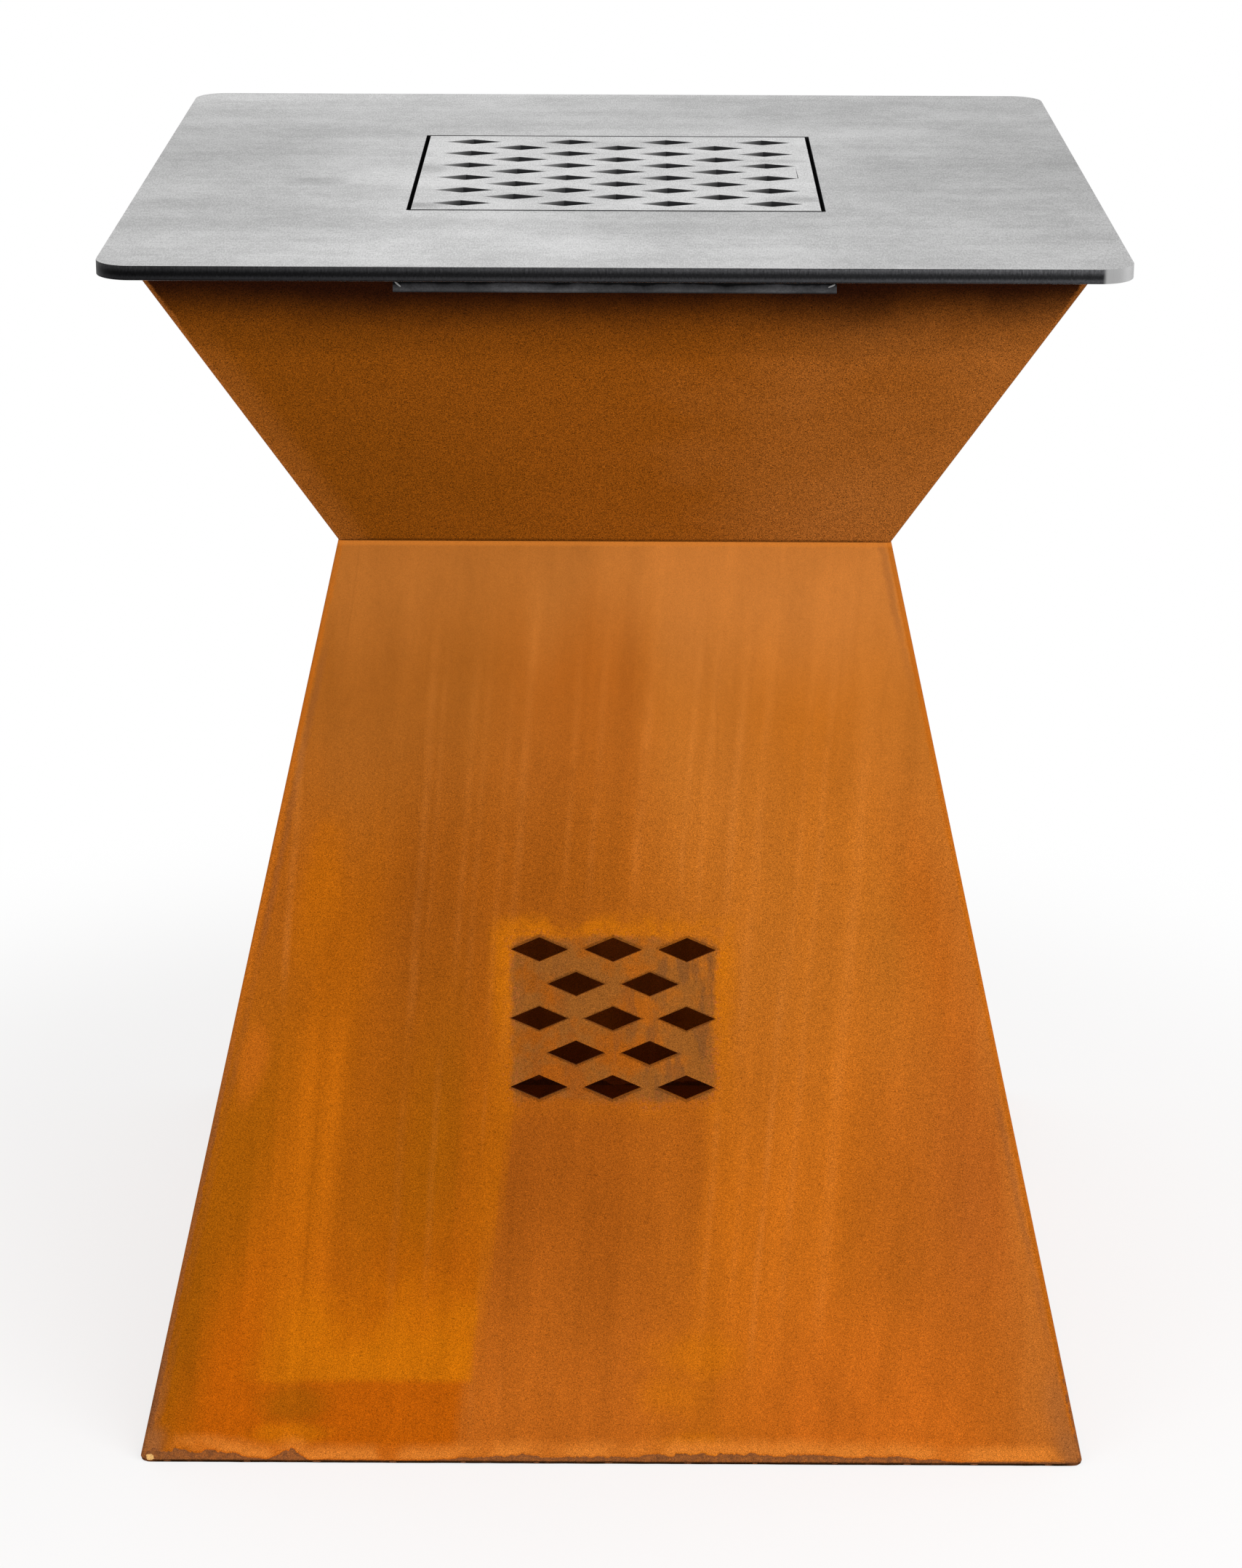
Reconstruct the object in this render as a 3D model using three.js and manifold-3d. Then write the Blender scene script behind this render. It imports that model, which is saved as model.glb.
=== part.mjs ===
import * as THREE from "three";
import { mergeVertices } from "three/addons/utils/BufferGeometryUtils.js";
import Module from "manifold-3d";

// A garden fire pit: a tapering pedestal of weathering steel carries a square fire bowl, a fire
// tray hangs in the bowl by two lips, and a thick cooking plate with a lift-out grate lies on top.
// Millimetres, +Z up, the front towards -Y, the origin on the ground in the middle of the base.

// ---- Driving dimensions ----

// Cooking plate, with an opening in its middle
const COOKING_HEIGHT = 900; // ground to the top face
const PLATE_WIDTH = 700;
const PLATE_DEPTH = 700;
const PLATE_THICKNESS = 10; // the grate is cut from the same plate
const PLATE_CORNER_RADIUS = 25;
const OPENING_WIDTH = 300;
const OPENING_DEPTH = 306;

// Grate: staggered rows of lozenge holes, and every second row holds one hole fewer
const GRATE_GAP = 3; // all round, inside the opening
const GRATE_HOLE_LENGTH = 45;
const GRATE_HOLE_WIDTH = 21;
const GRATE_COLUMN_PITCH = 75;
const GRATE_ROW_PITCH = 25;
const GRATE_LONG_ROW = 4; // holes in a long row
const GRATE_ROWS = 11;

// Pedestal and bowl: square in plan, of one sheet
const BASE_WIDTH = 700;
const NECK_WIDTH = 400;
const BOWL_TOP_WIDTH = 644;
const BOWL_HEIGHT = 218; // neck to rim
const SHEET = 3;
const CORNER_RADIUS = 3; // of the corner welds, ground round
const FOOT_CORNER_RADIUS = 8; // of the same welds at the ground
const FOOT_CORNER_HEIGHT = 5; // over which they get rounder

// Flat bars inside the pedestal's walls, on which the fire pit stands
const BASE_BAR_WIDTH = 40;
const BASE_BAR_THICKNESS = 4;
const WALL_FOOT = 1.5; // ground to the foot of the walls

// Air: lozenge vents in the front wall, an opening in the pedestal's top, holes in the bowl's floor
const VENT_HEIGHT = 327; // ground to the middle of the vents
const VENT_LENGTH = 42;
const VENT_WIDTH = 18;
const VENT_COLUMN_PITCH = 54;
const VENT_ROW_PITCH = 25.5;
const VENT_LONG_ROW = 3;
const VENT_ROWS = 5;
const AIR_OPENING_WIDTH = 250;
const AIR_HOLE_DIAMETER = 20;
const AIR_HOLE_PITCH = 45;
const AIR_HOLES_ACROSS = 5;

// Fire tray
const TRAY_SHEET = 3;
const TRAY_BEND_RADIUS = 1; // inside each fold
const TRAY_DEPTH = 150; // lip to the underside of the tray's floor
const TRAY_CLEARANCE = 3; // level, from the bowl's front and rear walls
const LIP_CLEARANCE = 1; // level, from the bowl's rim
const LIP_HEIGHT = 12;
const LEDGE_WIDTH = 18; // turned-in top of each side, where the grate rests
const ASH_SLOT_LENGTH = 60;
const ASH_SLOT_WIDTH = 8;
const ASH_SLOT_COLUMN_PITCH = 36;
const ASH_SLOT_ROW_PITCH = 90;
const ASH_SLOT_COLUMNS = 7;
const ASH_SLOT_ROWS = 4;

// Four bolts that hold the bowl on the pedestal
const BOLT_INSET = 32; // from the neck's inner faces
const BOLT_DIAMETER = 8;
const BOLT_HOLE_CLEARANCE = 0.5; // all round
const BOLT_HEAD_ACROSS_FLATS = 13;
const BOLT_HEAD_HEIGHT = 5.3;
const BOLT_END = 3; // shank below the nut
const NUT_HEIGHT = 6.5;
const WASHER_DIAMETER = 16;
const WASHER_THICKNESS = 1.6;

// Air between faces that touch on the real object
const CONTACT_GAP = 0.3;

// How finely curves are drawn
const ARC_STEPS = 6;
const HOLE_STEPS = 8;
const OVERCUT = 5; // how far a cutter reaches past what it cuts

// ---- Levels and widths that follow ----

const plateBottom = COOKING_HEIGHT - PLATE_THICKNESS;
const trayTop = plateBottom - CONTACT_GAP;
const rimHeight = trayTop - TRAY_SHEET - CONTACT_GAP;
const bowlFoot = rimHeight - BOWL_HEIGHT;
const bowlFloorTop = bowlFoot + SHEET;
const pedestalTop = bowlFoot - CONTACT_GAP;
const topPlateBottom = pedestalTop - SHEET;

const pedestal = taper(BASE_WIDTH / 2, NECK_WIDTH / 2, WALL_FOOT, pedestalTop);
const bowl = taper(NECK_WIDTH / 2, BOWL_TOP_WIDTH / 2, bowlFoot, rimHeight);
const neckInner = Math.min(pedestal.inner(pedestalTop), bowl.inner(bowlFoot));
const boltOffset = neckInner - BOLT_INSET;

// ---- Materials ----

const steel = (color, roughness, metalness) =>
  new THREE.MeshStandardMaterial({ color, roughness, metalness });

const materials = {
  pedestal: steel(0xb5651d, 0.8, 0.3),
  bowl: steel(0x7a4218, 0.85, 0.3),
  plate: steel(0x9c9c9c, 0.45, 0.9),
  tray: steel(0x3a3a3c, 0.6, 0.8),
  fastener: steel(0x8a8c90, 0.4, 0.9),
};

// ---- Solids ----

const wasm = await Module();
wasm.setup();

function solidOf(geometry) {
  const bare = geometry.clone();
  bare.deleteAttribute("normal");
  bare.deleteAttribute("uv");
  const merged = mergeVertices(bare);
  const vertProperties = new Float32Array(merged.attributes.position.array);
  const triVerts = new Uint32Array(merged.index.array);
  return new wasm.Manifold(new wasm.Mesh({ numProp: 3, vertProperties, triVerts }));
}

function geometryOf(solid) {
  const mesh = solid.getMesh();
  const indexed = new THREE.BufferGeometry();
  indexed.setAttribute("position", new THREE.BufferAttribute(mesh.vertProperties, 3));
  indexed.setIndex(new THREE.BufferAttribute(mesh.triVerts, 1));
  const geometry = indexed.toNonIndexed();
  geometry.computeVertexNormals();
  return geometry;
}

// Half the outer and inner widths, at any height, of a square shell with straight sloping walls.
function taper(lowHalf, highHalf, low, high) {
  const slope = (highHalf - lowHalf) / (high - low);
  const sheetAcross = SHEET * Math.hypot(1, slope);
  const outer = (z) => lowHalf + slope * (z - low);
  const inner = (z) => outer(z) - sheetAcross;
  return { low, high, slope, outer, inner };
}

// A square ring of points at one height, anticlockwise from above, its corners round if asked.
function squareRing(half, z, radius = 0) {
  const steps = radius > 0 ? ARC_STEPS : 0;
  const ring = [];
  for (let corner = 0; corner < 4; corner++) {
    const towardX = [1, -1, -1, 1][corner] * (half - radius);
    const towardY = [1, 1, -1, -1][corner] * (half - radius);
    for (let step = 0; step <= steps; step++) {
      const angle = (corner + step / Math.max(steps, 1)) * (Math.PI / 2);
      const x = towardX + radius * Math.cos(angle);
      const y = towardY + radius * Math.sin(angle);
      ring.push(new THREE.Vector3(x, y, z));
    }
  }
  return ring;
}

// A solid through rings of equally many points, from the lowest up.
function loft(...rings) {
  const count = rings[0].length;
  const top = (rings.length - 1) * count;
  const faces = [];
  for (let level = 0; level < top; level += count) {
    for (let i = 0; i < count; i++) {
      const here = level + i;
      const next = level + ((i + 1) % count);
      faces.push(here, next, count + next, here, count + next, count + here);
    }
  }
  for (let i = 1; i < count - 1; i++) {
    faces.push(0, i + 1, i, top, top + i, top + i + 1);
  }
  const geometry = new THREE.BufferGeometry().setFromPoints(rings.flat());
  geometry.setIndex(faces);
  return solidOf(geometry);
}

// A solid whose level section runs from (x0, y0) to (x1, y1), each worked out at its own height.
function slopingBox(walls, low, high) {
  const ring = (z) => {
    const { x0, x1, y0, y1 } = walls(z);
    return [[x0, y0], [x1, y0], [x1, y1], [x0, y1]].map(([x, y]) => new THREE.Vector3(x, y, z));
  };
  return loft(ring(low), ring(high));
}

function extrude(shape, depth) {
  return new THREE.ExtrudeGeometry(shape, { depth, bevelEnabled: false, curveSegments: HOLE_STEPS });
}

// Turns a shape's x, y and depth towards three directions of the object.
function turned(geometry, xTo, yTo, depthTo) {
  return geometry.applyMatrix4(new THREE.Matrix4().makeBasis(xTo, yTo, depthTo));
}

const ACROSS = new THREE.Vector3(1, 0, 0);
const BACK = new THREE.Vector3(0, 1, 0);
const UP = new THREE.Vector3(0, 0, 1);

const SIDES = ["front", "right", "rear", "left"]; // anticlockwise from above
const CORNERS = [
  { name: "front_right", x: 1, y: -1 }, // each between a side and the next
  { name: "rear_right", x: 1, y: 1 },
  { name: "rear_left", x: -1, y: 1 },
  { name: "front_left", x: -1, y: -1 },
];

// ---- Outlines ----

function rectangle(width, depth, Kind = THREE.Shape) {
  const outline = new Kind();
  outline.moveTo(-width / 2, -depth / 2);
  outline.lineTo(width / 2, -depth / 2);
  outline.lineTo(width / 2, depth / 2);
  outline.lineTo(-width / 2, depth / 2);
  outline.closePath();
  return outline;
}

function roundedRectangle(width, depth, radius) {
  const x = width / 2 - radius;
  const y = depth / 2 - radius;
  const outline = new THREE.Shape();
  outline.absarc(x, -y, radius, -Math.PI / 2, 0);
  outline.absarc(x, y, radius, 0, Math.PI / 2);
  outline.absarc(-x, y, radius, Math.PI / 2, Math.PI);
  outline.absarc(-x, -y, radius, Math.PI, Math.PI * 1.5);
  outline.closePath();
  return outline;
}

function circle(x, y, radius, Kind = THREE.Shape) {
  const outline = new Kind();
  outline.absarc(x, y, radius, 0, Math.PI * 2);
  return outline;
}

// A slot with round ends, lengthwise along y.
function slot(x, y, length, width) {
  const radius = width / 2;
  const reach = length / 2 - radius;
  const outline = new THREE.Shape();
  outline.absarc(x, y + reach, radius, 0, Math.PI);
  outline.absarc(x, y - reach, radius, Math.PI, Math.PI * 2);
  outline.closePath();
  return outline;
}

// Staggered rows of lozenges about (0, 0); the rows between long rows hold one fewer.
function lozenges({ rows, longRow, columnPitch, rowPitch, length, width }, Kind) {
  const outlines = [];
  for (let row = 0; row < rows; row++) {
    const count = row % 2 === 0 ? longRow : longRow - 1;
    const y = (row - (rows - 1) / 2) * rowPitch;
    for (let column = 0; column < count; column++) {
      const x = (column - (count - 1) / 2) * columnPitch;
      const outline = new Kind();
      outline.moveTo(x - length / 2, y);
      outline.lineTo(x, y - width / 2);
      outline.lineTo(x + length / 2, y);
      outline.lineTo(x, y + width / 2);
      outline.closePath();
      outlines.push(outline);
    }
  }
  return outlines;
}

// A line of points with an arc in place of each corner.
function filleted(line, radius) {
  const arcAt = (i) => {
    const back = line[i - 1].clone().sub(line[i]).normalize();
    const on = line[i + 1].clone().sub(line[i]).normalize();
    const half = Math.acos(back.dot(on)) / 2;
    const toCentre = back.clone().add(on).setLength(radius / Math.sin(half));
    const centre = line[i].clone().add(toCentre);
    const start = back.setLength(radius / Math.tan(half)).sub(toCentre);
    const end = on.setLength(radius / Math.tan(half)).sub(toCentre);
    const sweep = Math.PI - 2 * half;
    const pointAt = (share) => {
      const fromStart = Math.sin((1 - share) * sweep) / Math.sin(sweep);
      const fromEnd = Math.sin(share * sweep) / Math.sin(sweep);
      return centre.clone().addScaledVector(start, fromStart).addScaledVector(end, fromEnd);
    };
    return Array.from({ length: ARC_STEPS + 1 }, (_, step) => pointAt(step / ARC_STEPS));
  };
  const inner = line.slice(1, -1).flatMap((_, i) => arcAt(i + 1));
  return [line[0], ...inner, line.at(-1)];
}

// The outline of a sheet that follows a line of points, half its thickness on each side.
function foldedSheet(line, thickness) {
  const normalAfter = (i) => {
    const along = line[i + 1].clone().sub(line[i]).normalize();
    return new THREE.Vector2(-along.y, along.x);
  };
  const offsets = line.map((point, i) => {
    const first = normalAfter(Math.max(i - 1, 0));
    const second = normalAfter(Math.min(i, line.length - 2));
    const share = thickness / 2 / (1 + first.dot(second));
    return first.add(second).multiplyScalar(share);
  });
  const left = line.map((point, i) => point.clone().add(offsets[i]));
  const right = line.map((point, i) => point.clone().sub(offsets[i]));
  return new THREE.Shape([...right, ...left.reverse()]);
}

// ---- Pedestal and bowl ----

// The hollow body of the pedestal or the bowl, all its walls and corners in one.
function shell(walls, footRadius) {
  const outside = (z, radius) => squareRing(walls.outer(z), z, radius);
  const inside = (z) => squareRing(walls.inner(z), z);
  const block = loft(
    outside(walls.low, footRadius),
    outside(walls.low + FOOT_CORNER_HEIGHT, CORNER_RADIUS),
    outside(walls.high, CORNER_RADIUS),
  );
  return block.subtract(loft(inside(walls.low - OVERCUT), inside(walls.high + OVERCUT)));
}

// The front wall of a shell, between the inner faces of its neighbours.
function wallOf(walls, body) {
  const between = (z) => {
    const reach = walls.inner(z) - CONTACT_GAP / 2;
    return { x0: -reach, x1: reach, y0: -walls.outer(z) - OVERCUT, y1: 0 };
  };
  return body.intersect(slopingBox(between, walls.low - OVERCUT, walls.high + OVERCUT));
}

// The weld that fills the corner between the front and right walls, ground round outside.
function cornerWeldOf(walls, body) {
  const corner = (z) => {
    const from = walls.inner(z) + CONTACT_GAP / 2;
    const to = walls.outer(z) + OVERCUT;
    return { x0: from, x1: to, y0: -to, y1: -from };
  };
  return body.intersect(slopingBox(corner, walls.low - OVERCUT, walls.high + OVERCUT));
}

// Cutters for the vents, square to the front wall.
function ventCutters() {
  const outlines = lozenges(
    {
      rows: VENT_ROWS,
      longRow: VENT_LONG_ROW,
      columnPitch: VENT_COLUMN_PITCH,
      rowPitch: VENT_ROW_PITCH,
      length: VENT_LENGTH,
      width: VENT_WIDTH,
    },
    THREE.Shape,
  );
  const depth = SHEET + 2 * OVERCUT;
  const lean = Math.atan(-pedestal.slope);
  return outlines.map((outline) => {
    const geometry = extrude(outline, depth).translate(0, 0, -depth / 2);
    geometry.rotateX(Math.PI / 2 - lean);
    geometry.translate(0, -pedestal.outer(VENT_HEIGHT), VENT_HEIGHT);
    return solidOf(geometry);
  });
}

function ventedWall(plain) {
  return ventCutters().reduce((wall, cutter) => wall.subtract(cutter), plain);
}

// The front bar of the base frame, mitred at both ends a little short of its neighbours.
function baseBar() {
  const outer = pedestal.inner(BASE_BAR_THICKNESS) - CONTACT_GAP;
  const inner = outer - BASE_BAR_WIDTH;
  const outline = new THREE.Shape([
    new THREE.Vector2(-outer + CONTACT_GAP, -outer),
    new THREE.Vector2(outer - CONTACT_GAP, -outer),
    new THREE.Vector2(inner - CONTACT_GAP, -inner),
    new THREE.Vector2(-inner + CONTACT_GAP, -inner),
  ]);
  return extrude(outline, BASE_BAR_THICKNESS);
}

function boltHoles() {
  const radius = BOLT_DIAMETER / 2 + BOLT_HOLE_CLEARANCE;
  return CORNERS.map(({ x, y }) => circle(x * boltOffset, y * boltOffset, radius, THREE.Path));
}

function pedestalTopPlate() {
  const width = 2 * (pedestal.inner(pedestalTop) - CONTACT_GAP);
  const outline = rectangle(width, width);
  outline.holes.push(rectangle(AIR_OPENING_WIDTH, AIR_OPENING_WIDTH, THREE.Path), ...boltHoles());
  return extrude(outline, SHEET).translate(0, 0, topPlateBottom);
}

function bowlFloor() {
  const width = 2 * (bowl.inner(bowlFoot) - CONTACT_GAP);
  const outline = rectangle(width, width);
  outline.holes.push(...boltHoles());
  for (let row = 0; row < AIR_HOLES_ACROSS; row++) {
    for (let column = 0; column < AIR_HOLES_ACROSS; column++) {
      const x = (column - (AIR_HOLES_ACROSS - 1) / 2) * AIR_HOLE_PITCH;
      const y = (row - (AIR_HOLES_ACROSS - 1) / 2) * AIR_HOLE_PITCH;
      outline.holes.push(circle(x, y, AIR_HOLE_DIAMETER / 2, THREE.Path));
    }
  }
  return extrude(outline, SHEET).translate(0, 0, bowlFoot);
}

// ---- Fasteners, each standing on z = 0 where it bears ----

const headBearing = bowlFloorTop + WASHER_THICKNESS + 2 * CONTACT_GAP;
const nutBearing = topPlateBottom - WASHER_THICKNESS - 2 * CONTACT_GAP;

function hexagon() {
  const cornerRadius = BOLT_HEAD_ACROSS_FLATS / Math.sqrt(3);
  const points = [];
  for (let side = 0; side < 6; side++) {
    const angle = (side * Math.PI) / 3;
    points.push(new THREE.Vector2(cornerRadius * Math.cos(angle), cornerRadius * Math.sin(angle)));
  }
  return new THREE.Shape(points);
}

function bolt() {
  const shankLength = headBearing - nutBearing + NUT_HEIGHT + BOLT_END;
  const head = extrude(hexagon(), BOLT_HEAD_HEIGHT);
  const shank = extrude(circle(0, 0, BOLT_DIAMETER / 2), shankLength + BOLT_HEAD_HEIGHT / 2);
  shank.translate(0, 0, -shankLength);
  return geometryOf(solidOf(head).add(solidOf(shank)));
}

function nut() {
  const outline = hexagon();
  outline.holes.push(circle(0, 0, BOLT_DIAMETER / 2 + CONTACT_GAP, THREE.Path));
  return extrude(outline, NUT_HEIGHT).translate(0, 0, -NUT_HEIGHT);
}

function washer() {
  const outline = circle(0, 0, WASHER_DIAMETER / 2);
  outline.holes.push(circle(0, 0, BOLT_DIAMETER / 2 + BOLT_HOLE_CLEARANCE, THREE.Path));
  return extrude(outline, WASHER_THICKNESS);
}

// ---- Fire tray ----

const trayFloorBottom = trayTop - TRAY_DEPTH;
const trayFloorTop = trayFloorBottom + TRAY_SHEET;
const trayWidth = OPENING_WIDTH;
const traySheetAcross = TRAY_SHEET * Math.hypot(1, bowl.slope);

// Distance from the middle to the outer and inner faces of the tray's end walls.
const trayEndOuter = (z) => bowl.inner(z) - TRAY_CLEARANCE;
const trayEndInner = (z) => trayEndOuter(z) - traySheetAcross;

// One sheet: a lip over the bowl's front rim, down the front wall, along the floor, and up again.
function trayCradle() {
  const lipY = bowl.outer(rimHeight) + LIP_CLEARANCE + TRAY_SHEET / 2;
  const lipZ = trayTop - TRAY_SHEET / 2;
  const floorZ = trayFloorBottom + TRAY_SHEET / 2;
  const endMiddle = (z) => (trayEndOuter(z) + trayEndInner(z)) / 2;
  const front = [
    new THREE.Vector2(-lipY, trayTop - LIP_HEIGHT),
    new THREE.Vector2(-lipY, lipZ),
    new THREE.Vector2(-endMiddle(lipZ), lipZ),
    new THREE.Vector2(-endMiddle(floorZ), floorZ),
  ];
  const rear = front.map((point) => new THREE.Vector2(-point.x, point.y)).reverse();
  const middle = filleted([...front, ...rear], TRAY_BEND_RADIUS + TRAY_SHEET / 2);
  const section = extrude(foldedSheet(middle, TRAY_SHEET), trayWidth);
  const sheet = solidOf(turned(section, BACK, UP, ACROSS).translate(-trayWidth / 2, 0, 0));
  return ashSlotCutters().reduce((cradle, cutter) => cradle.subtract(cutter), sheet);
}

function ashSlotCutters() {
  const cutters = [];
  for (let row = 0; row < ASH_SLOT_ROWS; row++) {
    for (let column = 0; column < ASH_SLOT_COLUMNS; column++) {
      const x = (column - (ASH_SLOT_COLUMNS - 1) / 2) * ASH_SLOT_COLUMN_PITCH;
      const y = (row - (ASH_SLOT_ROWS - 1) / 2) * ASH_SLOT_ROW_PITCH;
      const cutter = extrude(slot(x, y, ASH_SLOT_LENGTH, ASH_SLOT_WIDTH), TRAY_SHEET + 2 * OVERCUT);
      cutters.push(solidOf(cutter.translate(0, 0, trayFloorBottom - OVERCUT)));
    }
  }
  return cutters;
}

// The right side of the tray: a wall between floor and top, with a ledge turned inwards.
function traySide() {
  const outer = trayWidth / 2;
  const foot = trayFloorTop + CONTACT_GAP;
  const outline = new THREE.Shape([
    new THREE.Vector2(outer - TRAY_SHEET, foot),
    new THREE.Vector2(outer, foot),
    new THREE.Vector2(outer, trayTop),
    new THREE.Vector2(outer - LEDGE_WIDTH, trayTop),
    new THREE.Vector2(outer - LEDGE_WIDTH, trayTop - TRAY_SHEET),
    new THREE.Vector2(outer - TRAY_SHEET, trayTop - TRAY_SHEET),
  ]);
  const length = 2 * trayEndOuter(trayTop) + 2 * OVERCUT;
  const section = turned(extrude(outline, length), ACROSS, UP, BACK.clone().negate());
  const between = (z) => {
    const reach = trayEndInner(z) - CONTACT_GAP;
    return { x0: 0, x1: trayWidth, y0: -reach, y1: reach };
  };
  const room = slopingBox(between, trayFloorBottom, trayTop + OVERCUT);
  return solidOf(section.translate(0, length / 2, 0)).intersect(room);
}

// ---- Cooking plate and grate ----

function cookingPlate() {
  const outline = roundedRectangle(PLATE_WIDTH, PLATE_DEPTH, PLATE_CORNER_RADIUS);
  outline.holes.push(rectangle(OPENING_WIDTH, OPENING_DEPTH, THREE.Path));
  return extrude(outline, PLATE_THICKNESS);
}

function grate() {
  const outline = rectangle(OPENING_WIDTH - 2 * GRATE_GAP, OPENING_DEPTH - 2 * GRATE_GAP);
  const holes = lozenges(
    {
      rows: GRATE_ROWS,
      longRow: GRATE_LONG_ROW,
      columnPitch: GRATE_COLUMN_PITCH,
      rowPitch: GRATE_ROW_PITCH,
      length: GRATE_HOLE_LENGTH,
      width: GRATE_HOLE_WIDTH,
    },
    THREE.Path,
  );
  outline.holes.push(...holes);
  return extrude(outline, PLATE_THICKNESS);
}

// ---- Assembly ----

function add(group, name, geometry, material) {
  const mesh = new THREE.Mesh(geometry, material);
  mesh.name = name;
  group.add(mesh);
  return mesh;
}

function pedestalGroup() {
  const group = new THREE.Group();
  const body = shell(pedestal, FOOT_CORNER_RADIUS);
  const wall = wallOf(pedestal, body);
  const plain = geometryOf(wall);
  const vented = geometryOf(ventedWall(wall));
  const weld = geometryOf(cornerWeldOf(pedestal, body));
  const bar = baseBar();
  SIDES.forEach((side, turn) => {
    const angle = (turn * Math.PI) / 2;
    const panel = side === "front" ? vented : plain;
    add(group, `pedestal_${side}_panel`, panel, materials.pedestal).rotation.z = angle;
    add(group, `base_bar_${side}`, bar, materials.pedestal).rotation.z = angle;
    const weldName = `pedestal_corner_weld_${CORNERS[turn].name}`;
    add(group, weldName, weld, materials.pedestal).rotation.z = angle;
  });
  add(group, "pedestal_top_plate", pedestalTopPlate(), materials.pedestal);
  return group;
}

function bowlGroup() {
  const group = new THREE.Group();
  const body = shell(bowl, CORNER_RADIUS);
  const wall = geometryOf(wallOf(bowl, body));
  const weld = geometryOf(cornerWeldOf(bowl, body));
  SIDES.forEach((side, turn) => {
    const angle = (turn * Math.PI) / 2;
    add(group, `bowl_${side}_panel`, wall, materials.bowl).rotation.z = angle;
    const weldName = `bowl_corner_weld_${CORNERS[turn].name}`;
    add(group, weldName, weld, materials.bowl).rotation.z = angle;
  });
  add(group, "bowl_floor", bowlFloor(), materials.bowl);
  return group;
}

function fastenerGroup() {
  const group = new THREE.Group();
  const pieces = [
    { name: "bolt", geometry: bolt(), z: headBearing },
    { name: "upper_washer", geometry: washer(), z: bowlFloorTop + CONTACT_GAP },
    { name: "lower_washer", geometry: washer(), z: nutBearing + CONTACT_GAP },
    { name: "nut", geometry: nut(), z: nutBearing },
  ];
  for (const corner of CORNERS) {
    for (const piece of pieces) {
      const mesh = add(group, `neck_${piece.name}_${corner.name}`, piece.geometry, materials.fastener);
      mesh.position.set(corner.x * boltOffset, corner.y * boltOffset, piece.z);
    }
  }
  return group;
}

function fireTrayGroup() {
  const group = new THREE.Group();
  const side = geometryOf(traySide());
  add(group, "fire_tray_cradle", geometryOf(trayCradle()), materials.tray);
  add(group, "fire_tray_right_side", side, materials.tray);
  add(group, "fire_tray_left_side", side, materials.tray).rotation.z = Math.PI;
  return group;
}

function plateGroup() {
  const group = new THREE.Group();
  group.position.z = plateBottom;
  add(group, "cooking_plate", cookingPlate(), materials.plate);
  add(group, "grate_insert", grate(), materials.plate);
  return group;
}

const firePit = new THREE.Group();
firePit.name = "fire_pit";
firePit.add(pedestalGroup(), bowlGroup(), fastenerGroup(), fireTrayGroup(), plateGroup());

export default firePit;
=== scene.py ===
"""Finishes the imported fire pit: patina, brushed steel, weld marks, and a plain studio round it."""

import math
import random
from collections import namedtuple

import bmesh
import bpy
from bpy.props import FloatProperty, FloatVectorProperty, PointerProperty
from mathutils import Matrix, Vector


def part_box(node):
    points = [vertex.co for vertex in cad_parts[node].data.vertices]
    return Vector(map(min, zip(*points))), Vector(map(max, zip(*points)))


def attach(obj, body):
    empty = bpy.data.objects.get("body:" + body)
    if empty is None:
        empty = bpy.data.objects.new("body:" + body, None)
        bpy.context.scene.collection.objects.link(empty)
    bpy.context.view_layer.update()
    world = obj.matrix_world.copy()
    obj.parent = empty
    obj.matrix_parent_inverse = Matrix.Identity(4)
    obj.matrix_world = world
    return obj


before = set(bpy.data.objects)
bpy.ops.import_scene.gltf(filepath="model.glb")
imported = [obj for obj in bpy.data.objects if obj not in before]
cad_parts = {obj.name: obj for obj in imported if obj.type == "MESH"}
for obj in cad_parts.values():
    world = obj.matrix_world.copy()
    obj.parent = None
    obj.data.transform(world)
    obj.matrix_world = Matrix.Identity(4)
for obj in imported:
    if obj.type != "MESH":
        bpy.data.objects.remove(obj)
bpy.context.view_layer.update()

bl_info = {
    "name": "Fire pit finish",
    "version": (1, 0, 0),
    "blender": (4, 5, 0),
    "location": "3D View > Sidebar > Fire pit",
    "description": "Finishes a weathering steel fire pit with a cooking plate and a grate",
    "category": "Object",
}


# ---- Values -----------------------------------------------------------------------------------


def display(red, green, blue):
    """A colour given as it shows on a screen, 0 to 255, in the linear values that shaders use."""

    def linear(value):
        value /= 255
        return value / 12.92 if value <= 0.04045 else ((value + 0.055) / 1.055) ** 2.4

    return linear(red), linear(green), linear(blue)


def colour_property(name, description, colour):
    return FloatVectorProperty(
        name=name, description=description, default=colour, size=3, min=0, max=1, subtype="COLOR"
    )


def length_property(name, description, metres):
    return FloatProperty(
        name=name, description=description, default=metres, min=0, unit="LENGTH", precision=5
    )


def factor_property(name, description, value):
    return FloatProperty(name=name, description=description, default=value, min=0)


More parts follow.
